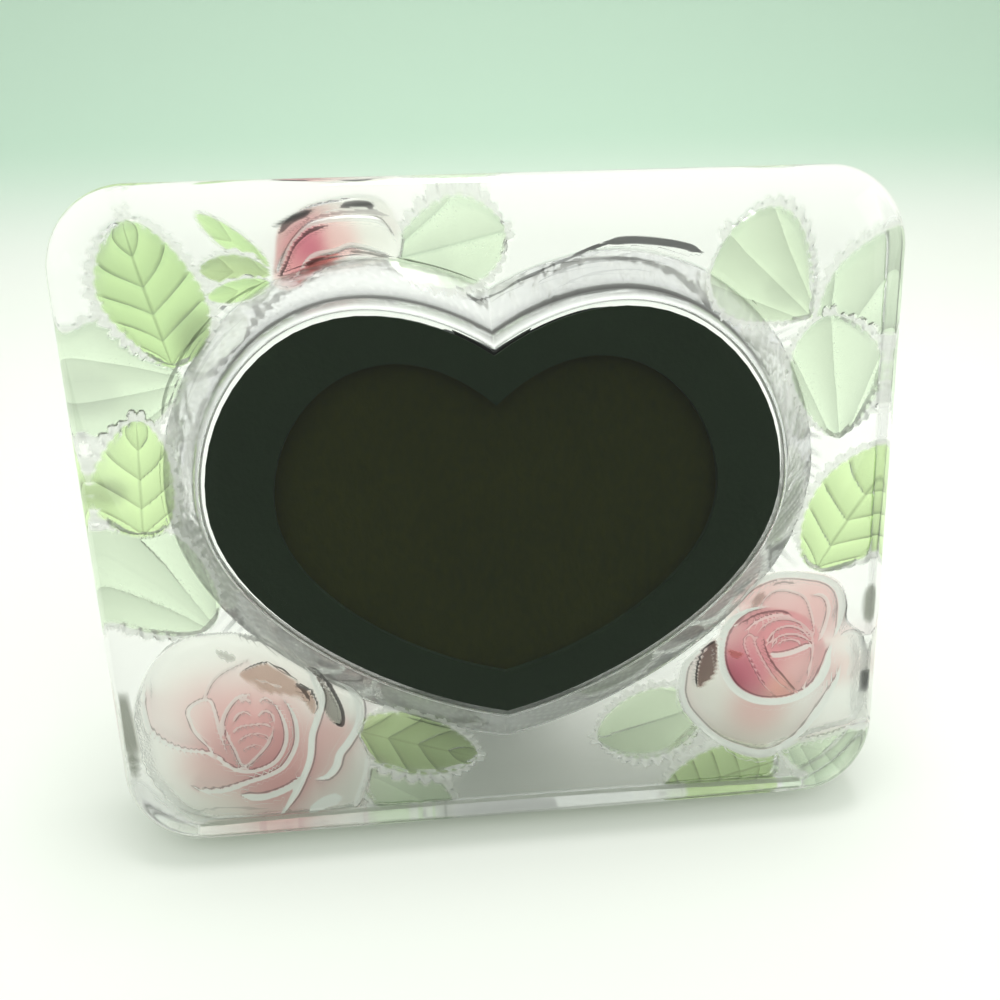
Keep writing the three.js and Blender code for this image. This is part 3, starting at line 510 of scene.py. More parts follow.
# Lines along the mouth above the notch and the lobes: the dark ones are painted reflections of the pocket's dark
# wall, one is a raised white line
paintedMouthLines = [
    ([(-8, 50), (-5, 47.8), (-2.4, 46.1), (2.3, 47.5), (6.7, 49.8), (15.3, 53.2), (23.9, 56), (30, 56.8)],
     0.4, -0.9, 0, 0.0),
    ([(24, 56.3), (30, 56.7), (36, 56.3), (42, 55.4), (46.5, 54)], 0.7, -0.85, 0, 0.0),
    ([(20, 53.6), (27, 54.7), (34, 54.6), (42, 53)], 0.5, 0.8, 0, 0.0),
    ([(9, 48.6), (16, 51.6), (24, 53.2), (32, 53.2), (39, 51.6)], 0.4, -0.55, 0, 0.0),
    ([(13, 47.4), (20, 50.2), (28, 51.2), (35, 50.6)], 0.35, -0.4, 0, 0.0),
    ([(-70.8, 22), (-68, 31), (-62, 40), (-54, 47.4), (-45, 52)], 0.35, -0.5, 0, 0.0),
    ([(-66, 20), (-63.6, 29), (-58, 38), (-50, 45)], 0.4, -0.3, 0, 0.0),
]


def paintOver(field, cover, depth, frost, stainAndShade):
    field["depth"] += cover * (depth - field["depth"])
    field["frost"] += cover * (frost - field["frost"])
    field["stainAndShade"] += cover[:, None] * (stainAndShade - field["stainAndShade"])


# How a leaf is pressed: half width of a leaf of full depth, bluntness of the outline, pitch of the teeth, the white
# margin and its teeth, where the margin starts along the rib, how soft its edge and the core's edge are, the bite of
# the teeth into the core, the fan's root and angle, heights of the bank, core, dome and facets, the painted shade in
# the notches between the teeth (share, where the teeth are low, how near the edge), frost of the margin and of the
# core, and the bead of the margin
leafPress = {
    "fullHalf": 6.0, "blunt": 0.55, "pitch": 2.3, "margin": 1.3, "tooth": 1.2, "start": (-0.02, 0.18),
    "edge": (0.0, 0.35), "coreEdge": (-0.4, 0.4), "bite": 0.9, "fanRoot": 3.0, "fanAngle": 2.2,
    "bank": (0.1, 0.7, 2.4), "coreBank": (-0.3, 1.8), "core": 0.2, "dome": 0.5, "facet": 0.4,
    "notch": 0.6, "notchLow": (0.35, 0.1), "notchEdge": (1.1, 0.3), "frost": (0.5, 0.3), "bead": 0.85,
}


def pressLeaf(field, x, z, leaf):
    # in its own share along the rib and distance across it: a stained core, folded between its veins and painted
    # darker across each facet as painted shade, inside a white toothed margin with painted shade in its notches
    press = leafPress
    stem, tip = np.array(leaf["from"], float), np.array(leaf["to"], float)
    length = np.linalg.norm(tip - stem)
    along = (tip - stem) / length
    s = ((x - stem[0]) * along[0] + (z - stem[1]) * along[1]) / length
    across = (z - stem[1]) * along[0] - (x - stem[0]) * along[1]
    left = across > 0.0
    half = np.where(left, *leaf["half"])
    power = np.where(left, *(math.log(0.5) / math.log(share) for share in leaf["widest"]))
    swell = np.sin(math.pi * np.clip(s, 0.0, 1.0) ** power) ** press["blunt"]
    past = np.maximum(np.abs(s - 0.5) - 0.5, 0.0) * length
    core = np.minimum(half * swell - np.abs(across), np.minimum(s, 1.0 - s) * length)
    core = np.where(past > 0.0, -np.hypot(across, past), core)
    size = min(1.0, max(leaf["half"]) / press["fullHalf"])
    # scallops counted by the angle round the leaf's middle
    teeth = round(math.pi * (0.5 * length + max(leaf["half"])) / press["pitch"])
    saw = np.abs(np.sin(0.5 * teeth * np.arctan2(across / half, 2.0 * s - 1.0)))
    margin = size * (press["margin"] + press["tooth"] * saw) * smooth(s, *press["start"])
    toothed = core + margin
    cover = smooth(toothed, *press["edge"])
    inner = smooth(core + press["bite"] * size * (saw - 0.5), *press["coreEdge"])
    t = np.clip(across / np.maximum(half * swell, 0.5), -1.4, 1.4)
    # the phase counts the veins or folds; its whole numbers are their lines, and 8 keeps it above 0
    if "fan" in leaf:
        angle = np.arctan2(across, np.maximum(s * length, 0.0) + press["fanRoot"])
        phase = leaf["fan"] * (angle / press["fanAngle"] + 0.5) + 8.0
    else:
        phase = (s - leaf["sweep"] * 0.5 * np.abs(t)) * leaf["veins"] + 8.0
    dome = np.sqrt(1.0 - np.minimum(np.abs(t), 1.0) ** 2)
    least, more, run = press["bank"]
    rise = least + more * smooth(toothed, 0.0, run)
    raised = press["core"] + press["dome"] * dome + press["facet"] * (phase % 1.0 - 0.5)
    depth = size * (rise + smooth(core, *press["coreBank"]) * raised)
    shade = np.ones(x.size)
    if "patch" in leaf:
        px, pz, radius, dark = leaf["patch"]
        shade -= dark * np.exp(-(((x - px) ** 2 + (z - pz) ** 2) / radius ** 2) ** 2)
    # painted shade in the notches between the teeth, darkening the white margin
    notch = 1.0 - press["notch"] * smooth(saw, *press["notchLow"]) * smooth(toothed, *press["notchEdge"])
    bead = np.abs(core / np.maximum(margin, 0.2) + 0.5) * 2.0
    rim = np.array(stainsAndShades["rim"]) * notch[:, None]
    stainAndShade = rim + inner[:, None] * (np.array(stainsAndShades[leaf["stainAndShade"]]) * shade[:, None] - rim)
    frost, more = press["frost"]
    paintOver(field, cover, depth, frost + more * inner, stainAndShade)
    taken = cover > 0.5
    blade = np.stack([phase, t, inner * leaf["ink"], inner * leaf["facetShade"]], 1)
    field["blade"][taken] = blade[taken]
    white = press["bead"] * notch * smooth(s, 0.0, 0.15)
    field["ridge"][taken] = np.stack([bead, white, np.zeros(x.size)], 1)[taken]


def curved(points, closed=False):
    # smooth line through its points, each stretch a cubic led by the points before and after
    p = np.array(points, float)
    p = np.vstack([p[-1], p, p[:2]]) if closed else np.vstack([2 * p[0] - p[1], p, 2 * p[-1] - p[-2]])
    t = np.linspace(0.0, 1.0, 8, endpoint=False)[None, :, None]
    a, b, c, d = (p[k : len(p) - 3 + k, None, :] for k in range(4))
    line = b + 0.5 * t * (c - a + t * (2 * a - 5 * b + 4 * c - d + t * (3 * (b - c) + d - a)))
    line = line.reshape(-1, 2)
    return line if closed else np.vstack([line, p[-2]])


def inside(x, z, loop):
    # odd number of crossings of a line to the right
    ends = np.roll(loop, -1, axis=0)
    (x1, z1), (x2, z2) = loop.T, ends.T
    z = z[:, None]
    spans = (z1 > z) != (z2 > z)
    cut = x1 + (z - z1) * (x2 - x1) / np.where(z2 == z1, 1e-9, z2 - z1)
    return (spans & (x[:, None] < cut)).sum(1) % 2 == 1


def nearest(x, z, line):
    # distance to a line, the side it lies on and the share along the line
    place = np.stack([x, z], 1)[:, None]
    start, step = line[:-1], np.diff(line, axis=0)
    length = np.maximum((step ** 2).sum(1), 1e-9)
    t = np.clip(((place - start) * step).sum(2) / length, 0.0, 1.0)
    off = place - start - t[..., None] * step
    apart = np.hypot(off[..., 0], off[..., 1])
    best = apart.argmin(1)
    row = np.arange(len(x))
    off, step = off[row, best], step[best]
    side = np.where(step[:, 0] * off[:, 1] - step[:, 1] * off[:, 0] >= 0.0, 1.0, -1.0)
    return apart[row, best], side, (best + t[row, best]) / (len(line) - 1)


def signedEdge(x, z, loop):
    # distance to a closed outline, positive inside
    apart = nearest(x, z, np.vstack([loop, loop[:1]]))[0]
    return np.where(inside(x, z, loop), apart, -apart)


def near(x, z, line, margin):
    low, high = line.min(0) - margin, line.max(0) + margin
    return np.flatnonzero((x > low[0]) & (x < high[0]) & (z > low[1]) & (z < high[1]))


def pressPatch(field, x, z, points, stainAndShade, strength, frost):
    # a soft-edged spot of colour inside a closed outline; in the dark colours it is painted dark reflection and shade
    # rather than stain
    loop = curved(points, True)
    picked = near(x, z, loop, 1.0)
    cover = strength * smooth(signedEdge(x[picked], z[picked], loop), -0.25, 0.25)
    field["stainAndShade"][picked] += cover[:, None] * (np.array(stainsAndShades[stainAndShade]) - field["stainAndShade"][picked])
    field["frost"][picked] += cover * (frost - field["frost"][picked])


# How a ridge is pressed: width for a written 1, reach of its drop, share of its length that fades and that tapers,
# how thin its ends are, its height, how fast the drop and the shade behind it fade, the foot where the drop starts,
# and the widths between which a thin line gains its full white
ridgePress = {
    "wide": 1.3, "reach": 6.0, "fade": 0.06, "taper": 0.18, "thin": 0.3, "height": 0.14, "drop": 2.2, "shade": 2.8,
    "foot": 0.8, "white": (0.45, 1.0),
}


def pressRidge(field, x, z, ridge):
    # a raised line, faded at its ends; behind it the glass drops and painted shade darkens the stain, both fading
    # with distance
    press = ridgePress
    points, wide, white, lee, drop = ridge
    wide *= press["wide"]
    line = curved(points)
    picked = near(x, z, line, press["reach"])
    apart, side, share = nearest(x[picked], z[picked], line)
    ends = smooth(share, 0.0, press["fade"]) * smooth(1.0 - share, 0.0, press["fade"])
    behind = (side * lee > 0.0) * ends
    field["depth"][picked] += press["height"] * max(white, 0.0) * ends * np.exp(-((apart / wide) ** 2))
    foot = smooth(apart, 0.0, press["foot"] * wide)
    field["depth"][picked] -= drop * behind * np.exp(-apart / press["drop"]) * foot
    # painted shade behind the ridge, on its lee side
    shaded = (abs(drop) * behind * np.exp(-apart / press["shade"]))[:, None]
    field["stainAndShade"][picked] *= 1.0 - shaded * np.array(stainsAndShades["lee"])
    white *= 0.5 + 0.5 * smooth(wide, *press["white"]) if white > 0.0 else 1.0
    tips = smooth(share, 0.0, press["taper"]) * smooth(1.0 - share, 0.0, press["taper"])
    taper = press["thin"] + (1.0 - press["thin"]) * tips
    mark = side * apart / (wide * taper)
    mark *= 1.0 + np.abs(mark) ** 3
    closer = np.abs(mark) < np.abs(field["ridge"][picked, 0])
    rows = picked[closer]
    field["ridge"][rows] = np.stack([mark, white * ends, behind], 1)[closer]


def sprayOver(stainAndShade, x, z, spray, mask):
    # airbrushed spots that fade outwards
    for cx, cz, reach, name, strength in spray:
        cover = mask * strength * np.exp(-((((x - cx) ** 2 + (z - cz) ** 2) / reach ** 2) ** 1.4))
        stainAndShade += cover[:, None] * (np.array(stainsAndShades[name]) - stainAndShade)


# How soft the edges of a flower's bank, ground and cup are, and the frost of its patches
flowerPress = {"bank": (-0.6, 3.0), "edge": (-0.2, 0.3), "cupEdge": (-0.3, 0.3), "patchFrost": 0.25}
noRidge = (9.0, 0.0, 0.0)  # far from any line


def pressFlower(field, x, z, flower):
    # a domed, etched and sprayed ground, then its patches and ridges
    loop = curved(flower["outline"], True)
    picked = near(x, z, loop, 1.0)
    part = {key: field[key][picked] for key in field}
    px, pz = x[picked], z[picked]
    edge = signedEdge(px, pz, loop)
    cx, cz, radius, height = flower["dome"]
    dome = height * np.exp(-((px - cx) ** 2 + (pz - cz) ** 2) / radius ** 2)
    depth = flower["depth"] * smooth(edge, *flowerPress["bank"]) + dome
    stainAndShade = np.tile(np.array(stainsAndShades[flower["ground"]]), (len(picked), 1))
    sprayOver(stainAndShade, px, pz, flower["spray"], 1.0)
    if "cup" in flower:
        cup = smooth(signedEdge(px, pz, curved(flower["cup"], True)), *flowerPress["cupEdge"])
        sprayOver(stainAndShade, px, pz, flower["cupSpray"], cup)
    cover = smooth(edge, *flowerPress["edge"])
    paintOver(part, cover, depth, flower["frost"], stainAndShade)
    part["blade"][cover > 0.5] = 0.0
    part["ridge"][cover > 0.5] = noRidge
    for key in field:
        field[key][picked] = part[key]
    for points, name, strength in flower["patches"]:
        pressPatch(field, x, z, points, name, strength, flowerPress["patchFrost"])
    for ridge in flower["ridges"]:
        pressRidge(field, x, z, ridge)


def pressRelief(x, z):
    # the whole relief at the given places, each piece laid over the ones before
    field = {
        "depth": np.zeros(x.size),
        "frost": np.zeros(x.size),
        "stainAndShade": np.ones((x.size, 3)),
        "blade": np.zeros((x.size, 4)),
        "ridge": np.full((x.size, 3), noRidge),
    }
    for leaf in leaves:
        pressLeaf(field, x, z, leaf)
    for flower in flowers:
        pressFlower(field, x, z, flower)
    # dark lines painted along the mouth, reflections of the pocket's dark wall
    for paintedMouthLine in paintedMouthLines:
        pressRidge(field, x, z, paintedMouthLine)
    # dark reflections painted by the side edges
    for eye in paintedDarkReflections:
        pressPatch(field, x, z, eye, "slate", 0.95, 0.0)
    return field


# The crystal as one closed skin of rings: front middle, front edge, side, back edge, pressed back, mouth of the
# pocket, flare, wall, floor and its middle
crystalGrid = {"half": 520, "frontEdge": 14, "backEdge": 3, "back": 54, "flare": 13, "fillet": 4, "hair": 0.06}
# Pressed ripples across the flare: their height, the share of it everywhere and at spots (place, radius, share), and
# the pace of the waves, their wanderings (size, length), crook and beat, and the painted shade in their troughs
ripples = {
    "height": 0.26,
    "plain": 0.10,
    "spots": [
        (70, 22, 12, 0.8), (70, 2, 12, 0.9), (58, -20, 9, 0.5), (-66, -2, 12, 0.8), (-58, -18, 8, 0.6),
        (12, 49, 7, 0.6),
    ],
    "pace": 1.9, "wander": (1.6, 5.3), "drift": (0.9, 2.9), "crook": 1.8, "beat": (0.7, 0.5), "troughShade": 0.3,
}
# Satin of the flare from trough to crest, of the back edge, of the ground flat and of the wall's rings; the fringe of
# rings where crests run on past the mouth, how far to the sides that starts, and the frost that stops it; the height
# on the face whose relief colours the ground flat as a painted reflection of it in the bottom edge
satins = {
    "flare": (0.42, 0.90), "edge": 0.25, "ground": 0.75, "wall": (0.9, 0.9, 0.6, 0.0, 0.0),
    "fringe": 14, "fringeSides": (42.0, 56.0), "fringeFrost": (0.4, 0.0), "groundFrom": -65.0,
}
# Painted shade on the flare: it darkens towards the wall, further out and more along the top, along the bottom, and
# at a patch in the right lobe (middle, half width, share)
flareShade = {
    "tint": (1.0, 1.0, 0.98), "wall": 0.55, "wallTop": 0.3, "wallStart": 0.88, "topStart": 0.22,
    "top": (10.0, 40.0), "bottom": 0.35, "patch": (25.0, 20.0, 0.35),
}


def rippled(x, z, share):
    # waves along the outline whose pace wanders, strongest at the spots, none at the ends of the flare; the crests
    # are whiter and the troughs get painted shade
    run = np.cumsum(np.hypot(*np.diff([x, z], axis=1, prepend=np.array([x[:1], z[:1]]))))
    (far, slow), (less, quick), (steady, beat) = ripples["wander"], ripples["drift"], ripples["beat"]
    wander = run + far * np.sin(run / slow) + less * np.sin(run / quick + 1.0)
    crook = ripples["crook"] * math.sin(5.0 * share) * np.sin(0.8 * run + 6.0 * share)
    wave = np.sin(ripples["pace"] * wander + crook) * (steady + beat * np.sin(1.1 * run - 8.0 * share))
    amount = np.full(x.size, ripples["plain"])
    for cx, cz, radius, strength in ripples["spots"]:
        amount = np.maximum(amount, strength * np.exp(-((x - cx) ** 2 + (z - cz) ** 2) / radius ** 2))
    low, high = satins["flare"]
    satin = low + (high - low) * np.clip(amount + 0.25, 0.0, 1.0) * smooth(wave, -0.2, 1.2)
    height = ripples["height"] * amount * wave * math.sin(math.pi * share) ** 0.7
    return height, satin, 1.0 - ripples["troughShade"] * amount * smooth(wave, 0.1, -0.8)


def crystalRings():
    # rings from the front's middle to the pocket's, each with its depth; the flare's satin and painted trough shade
    # come along
    shares = np.linspace(0.0, 1.0, crystalGrid["half"] + 1)
    matHeart = heartHalf(heart)
    rings, satin, troughShades = [], [], []

    def addRing(ring, depth):
        rings.append((ring[:, 0], np.broadcast_to(depth, len(ring)), ring[:, 1]))

    def slabRing(inset):
        return wholeRing(slabHalf(inset), shares)

    def heartRing(offset):
        return wholeRing(offsetHalf(matHeart, offset), shares)

    addRing(slabRing(slab["frontRun"]) * 0.5, 0.0)
    addRing(slabRing(slab["frontRun"] + crystalGrid["hair"]), 0.0)  # keeps the flat flat up to the rounded edge
    for a in np.linspace(0.0, math.pi / 2, crystalGrid["frontEdge"] + 1):
        addRing(slabRing(slab["frontRun"] * (1 - math.sin(a))), slab["frontRise"] * (1 - math.cos(a)))
    backRound = slab["backRound"]
    for a in np.linspace(0.0, math.pi / 2, crystalGrid["backEdge"] + 1):
        addRing(slabRing(backRound * (1 - math.cos(a))), slab["depth"] - backRound * (1 - math.sin(a)))
    wall = pocket["margin"] + pocket["wallDraft"]
    outer, inner = slabRing(backRound), heartRing(wall + pocket["flare"])
    backStart = len(rings)
    for share in np.arange(1, crystalGrid["back"] + 1) / crystalGrid["back"]:
        addRing(outer + share * (inner - outer), slab["depth"])
    backEnd = len(rings)
    wallTop = pocket["floor"] + pocket["wallDepth"]
    for share in np.arange(1, crystalGrid["flare"] + 1) / crystalGrid["flare"]:
        ring = heartRing(wall + pocket["flare"] * (1 - share))
        depth = slab["depth"] + share * (wallTop - slab["depth"])
        height, whiter, troughShade = rippled(ring[:, 0], ring[:, 1], share)
        addRing(ring, depth - height)
        satin.append(whiter)
        troughShades.append(troughShade)
    fillet = pocket["fillet"]
    for a in np.linspace(math.pi / 2, 0.0, crystalGrid["fillet"] + 1):
        ring = heartRing(pocket["margin"] - fillet * (1 - math.sin(a)))
        addRing(ring, pocket["floor"] + fillet * (1 - math.cos(a)))
    addRing(heartRing(pocket["margin"] - fillet - crystalGrid["hair"]), pocket["floor"])
    addRing(heartRing(pocket["margin"] - fillet) * 0.5, pocket["floor"])
    x, y, z = (np.array([ring[k] for ring in rings]) for k in range(3))
    return x, y, z, backStart, backEnd, np.array(satin), np.array(troughShades)


def ringFaces(rows, columns):
    # quads between neighbouring rings, then a fan at each pole; the poles are the last two points
    r, c = np.meshgrid(np.arange(rows - 1), np.arange(columns), indexing="ij")
    nextC = (c + 1) % columns
    quads = np.stack([r * columns + c, r * columns + nextC, (r + 1) * columns + nextC, (r + 1) * columns + c], -1)
    c = np.arange(columns)
    nextC = (c + 1) % columns
    first, last = rows * columns, rows * columns + 1
    start = (rows - 1) * columns
    front = np.stack([np.full(columns, first), nextC, c], 1)
    back = np.stack([np.full(columns, last), start + c, start + nextC], 1)
    return quads.reshape(-1, 4).tolist() + front.tolist() + back.tolist()


def makeCrystal(material):
    # the rings with the relief pressed into the flat back, and what the finish reads as attributes
    x, y, z, backStart, backEnd, satin, troughShades = crystalRings()
    edgeStart = backStart - crystalGrid["backEdge"]  # stains run out over the rounded back edge
    flareEnd = backEnd + crystalGrid["flare"]
    rows = slice(edgeStart, flareEnd)
    field = pressRelief(x[rows].ravel(), z[rows].ravel())
    columns = x.shape[1]
    back = slice(edgeStart * columns, flareEnd * columns)
    pressed = np.zeros(flareEnd - edgeStart)
    pressed[backStart - edgeStart : backEnd - edgeStart - 1] = 1.0  # only the flat back, short of the mouth's edge
    y[rows] -= field["depth"].reshape(-1, columns) * pressed[:, None]
    sheer = np.zeros(x.shape)
    sheer[edgeStart:backStart] = satins["edge"]
    sheer[backEnd:flareEnd] = satin
    # at the sides the whiter crests run on past the mouth where nothing is pressed
    low, high = satins["flare"]
    fringe = satins["fringe"]
    crest = np.linspace(0.0, 1.0, fringe)[:, None] * (satin[0] - low) / (high - low)
    crest *= smooth(np.abs(x[backEnd]), *satins["fringeSides"])
    bare = smooth(field["frost"].reshape(-1, columns), *satins["fringeFrost"])
    sheer[backEnd - fringe : backEnd] = crest * bare[backEnd - edgeStart - fringe : backEnd - edgeStart]
    sheer[flareEnd : flareEnd + len(satins["wall"])] = np.array(satins["wall"])[:, None]
    # painted shade darkens the flare towards the wall, most along the top, and in its ripples' troughs
    shade = flareShade
    flareX, flareZ = x[backEnd:flareEnd], z[backEnd:flareEnd]
    share = np.arange(1, crystalGrid["flare"] + 1)[:, None] / crystalGrid["flare"]
    lobes = smooth(flareZ, *shade["top"])
    start = shade["wallStart"] - shade["topStart"] * lobes
    gloom = 1.0 - (shade["wall"] + shade["wallTop"] * lobes) * smooth(share, start, 1.0)
    gloom *= troughShades * (1.0 - shade["bottom"] * smooth(-flareZ, *shade["top"]))
    middle, half, dark = shade["patch"]
    gloom *= 1.0 - dark * np.exp(-(((flareX - middle) / half) ** 4)) * lobes
    field["stainAndShade"][-gloom.size :] *= gloom.reshape(-1, 1) * np.array(shade["tint"])
    points = placed(x, y, z).reshape(-1, 3)
    poles = placed(np.zeros(2), np.array([0.0, pocket["floor"]]), np.zeros(2))
    points = np.vstack([points, poles])
    sheer = np.append(sheer, [0.0, 0.0])
    ground = points[:, 2] < 0.0
    sheer[ground] = satins["ground"]
    # the ground flat takes its colour from the relief that ends above it, a painted reflection of that relief in the
    # bottom edge
    stainAndShade = np.ones((len(points), 3))
    stainAndShade[back] = field["stainAndShade"]
    above = np.full(ground.sum(), satins["groundFrom"])
    stainAndShade[ground] = pressRelief(points[ground, 0] / mm, above)["stainAndShade"]
    points[:, 2] = np.clip(points[:, 2], 0.0, cadBox[1][2])  # the flat it stands on, and the top of the CAD model
    piece = meshPiece("crystal", points, ringFaces(*x.shape), material, "crystal")
    mesh = piece.data

    def layer(name, kind, key, values, plain, part=back):
        whole = np.tile(np.asarray(plain, np.float32), (len(points), 1))
        whole[part] = np.asarray(values, np.float32).reshape(-1, whole.shape[1])
        mesh.attributes.new(name, kind, "POINT").data.foreach_set(key, whole.ravel())

    # how green, how red and how light the stain with its painted shade is
    redder = 2.4 * (stainAndShade[:, 0] - stainAndShade[:, 1])
    tint = np.stack([np.clip(-redder, 0.0, 1.0), np.clip(redder, 0.0, 1.0), stainAndShade.mean(1)], 1)
    layer("frost", "FLOAT", "value", field["frost"], [0.0])
    layer("satin", "FLOAT", "value", sheer, [0.0], slice(None))
    layer("stainAndShade", "FLOAT_COLOR", "color", np.column_stack([stainAndShade, np.ones(len(stainAndShade))]), [1.0] * 4, slice(None))
    layer("tint", "FLOAT_VECTOR", "vector", tint, [0.0, 0.0, 1.0], slice(None))
    layer("blade", "FLOAT_COLOR", "color", field["blade"], [0.0, 0.0, 0.0, 0.0])
    layer("ridge", "FLOAT_VECTOR", "vector", field["ridge"], noRidge)
    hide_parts("crystal_body")
    print("crystal:", len(mesh.polygons), "faces")


# Widths of veins and rib, how dark they are, the painted shade in the creases behind ridges and along dark lines,
# how white the ridges, the etched grain, how milky the etching is, the colours that glow through it, and how light
# passes straight through
crystalLook = {
    "ior": 1.52, "rough": 0.30, "etchedRough": 0.7, "etchedGloss": 0.2,
    "vein": 0.17, "veinEnd": (0.96, 0.82), "veinStart": 0.35, "rib": 0.06, "ribInk": 0.6, "ink": 0.8,
    "band": (1.35, 0.6), "creaseShadeBand": (0.9, 1.4), "creaseEnd": (3.4, 1.8), "creaseShade": 0.55,
    "line": 0.9, "white": 0.85, "whiteColour": (0.96, 0.96, 0.94), "grain": 3000.0, "grainDepth": 0.00003,
    "milk": 0.34, "rimMilk": 0.65, "dull": 0.15, "lineShade": 0.85, "darkStainAndShade": (0.38, 0.18),
    "leaf": (0.56, 0.92, 0.20, 1.0), "rose": (0.74, 0.32, 0.34, 1.0), "plain": (0.99, 1.0, 0.98, 1.0),
    "passing": (0.26, 0.29, 0.24, 1.0), "leaving": (0.95, 0.96, 0.94, 1.0),
}


def crystalPaint():
    look = crystalLook
    paint = Paint("crystal")
    frost = paint.attribute("frost", 2)
    stainAndShade = paint.attribute("stainAndShade", 0)
    tint = paint.attribute("tint", 1)
    blade = paint.attribute("blade", 1)
    ridge = paint.attribute("ridge", 1)
    phase, across, ink = (paint.axis(blade, k) for k in range(3))
    facetShade = paint.attribute("blade", 3)
    mark, white, lee = (paint.axis(ridge, k) for k in range(3))
    mark = mark.abs()
    facet = phase.fract()
    # veins start at the rib and stop short of the edge; the facets between them get painted shade that falls off to
    # one side
    across = across.abs()
    growing = look["veinStart"] + (1.0 - look["veinStart"]) * across
    side = (1.0 - facet * (1.0 / look["vein"])).clamped() * paint.step(across, *look["veinEnd"]) * growing
    rib = look["ribInk"] * (1.0 - across * (1.0 / look["rib"])).clamped()
    tone = (1.0 - look["ink"] * ink * side.larger(rib)) * (1.0 - facetShade * (1.0 - facet))
    band = paint.step(mark, *look["band"])
    rim = band * white.larger(0.0)
    shadedLine = band * (0.0 - white).larger(0.0)
    # painted shade in the crease on the lee side of each ridge
    creaseShadeBand = paint.step(mark, *look["creaseShadeBand"]) * paint.step(mark, *look["creaseEnd"]) * lee
    tone = tone * (1.0 - look["creaseShade"] * creaseShadeBand)
    # the stain darkened by vein ink, by painted shade on facets and in creases, and along dark lines by painted
    # shadow
    colour = paint.mix(tone * (1.0 - look["line"] * shadedLine), (0.0, 0.0, 0.0), stainAndShade)
    colour = paint.mix(look["white"] * rim, colour, look["whiteColour"])
    grain = paint.noise(look["grain"], 2.0)
    normal = paint.bump(grain * frost, look["grainDepth"])
    glass = paint.node(
        "ShaderNodeBsdfPrincipled",
        None,
        {
            "Base Color": paint.squared(colour),
            "Roughness": frost * look["rough"],
            "IOR": look["ior"],
            "Transmission Weight": 1.0,
            "Normal": normal,
        },
    )
    etched = paint.node(
        "ShaderNodeBsdfPrincipled",
        None,
        {
            "Base Color": colour,
            "Roughness": look["etchedRough"],
            "Specular IOR Level": look["etchedGloss"],
            "Normal": normal,
        },
    )
    lit = [paint.node("ShaderNodeBsdfTranslucent", None, {"Color": look[key]}) for key in ("plain", "leaf", "rose")]
    bare = 1.0 - rim
    glow = paint.blend(paint.axis(tint, 0) * bare, lit[0], lit[1])
    glow = paint.blend(paint.axis(tint, 1) * bare, glow, lit[2])
    milk = paint.blend(look["dull"], glow, etched)
    light = paint.axis(tint, 2)
    cloud = frost * (0.8 + 0.4 * grain) * look["milk"] * tone * light + look["rimMilk"] * rim
    body = paint.blend(cloud.clamped(), glass, milk)
    # dark lines and dark patches, painted shade and dark reflections, turn the light away, so nothing shines through
    # them, and satin hides what is behind it
    shade = (look["lineShade"] * shadedLine).larger(paint.step(light, *look["darkStainAndShade"]))
    body = paint.blend(shade.larger(paint.attribute("satin", 2)), body, etched)
    # lamps and scattered light pass straight through, dimmed on the way in
    coming, leaving = (
        paint.node("ShaderNodeBsdfTransparent", None, {"Color": look[key]}) for key in ("passing", "leaving")
    )
    inside = paint.node("ShaderNodeNewGeometry", None, None, 6)
    clear = paint.blend(inside, coming, leaving)
    straight = paint.ray("Is Shadow Ray").larger(paint.ray("Is Diffuse Ray"))
    return paint.finish(paint.blend(straight, body, clear))


# Card, boards, fabrics and steel: broad patches, how grain and patches make up the tone, and the fabrics' sheen
plainLook = {
    "patches": 45.0, "fromGrain": 0.65, "fromPatches": 0.7, "base": 0.2, "cells": 1.2,
    "sheenRough": 0.4, "sheenTint": (0.85, 0.9, 0.9, 1.0),
}


def plainPaint(name, dark, light, rough, scale, bumpDepth, metal=0.0, stretch=(1.0, 1.0, 1.0), sheen=0.0,
               cells=False):
    # fine grain under broad patches; rough gives the ends between which the grain moves the roughness
    paint = Paint(name)
    place = paint.node("ShaderNodeTexCoord", output=3)
    drawn = paint.node("ShaderNodeMapping", None, {"Vector": place, "Scale": stretch})
    grain = paint.noise(scale, 6.0, drawn)
    if cells:
        grain = paint.node("ShaderNodeTexVoronoi", None, {"Vector": drawn, "Scale": scale}) * plainLook["cells"]
    patches = paint.noise(plainLook["patches"], 3.0, place)
    tone = plainLook["fromGrain"] * grain + plainLook["fromPatches"] * patches - plainLook["base"]
    sockets = {
        "Base Color": paint.mix(tone.clamped(), dark, light),
        "Roughness": (rough[0] + (rough[1] - rough[0]) * grain).clamped(),
        "Metallic": metal,
        "Normal": paint.bump(grain, bumpDepth),
    }
    if sheen:
        sockets["Sheen Weight"] = sheen
        sockets["Sheen Roughness"] = plainLook["sheenRough"]
        sockets["Sheen Tint"] = plainLook["sheenTint"]
    return paint.finish(paint.node("ShaderNodeBsdfPrincipled", None, sockets))


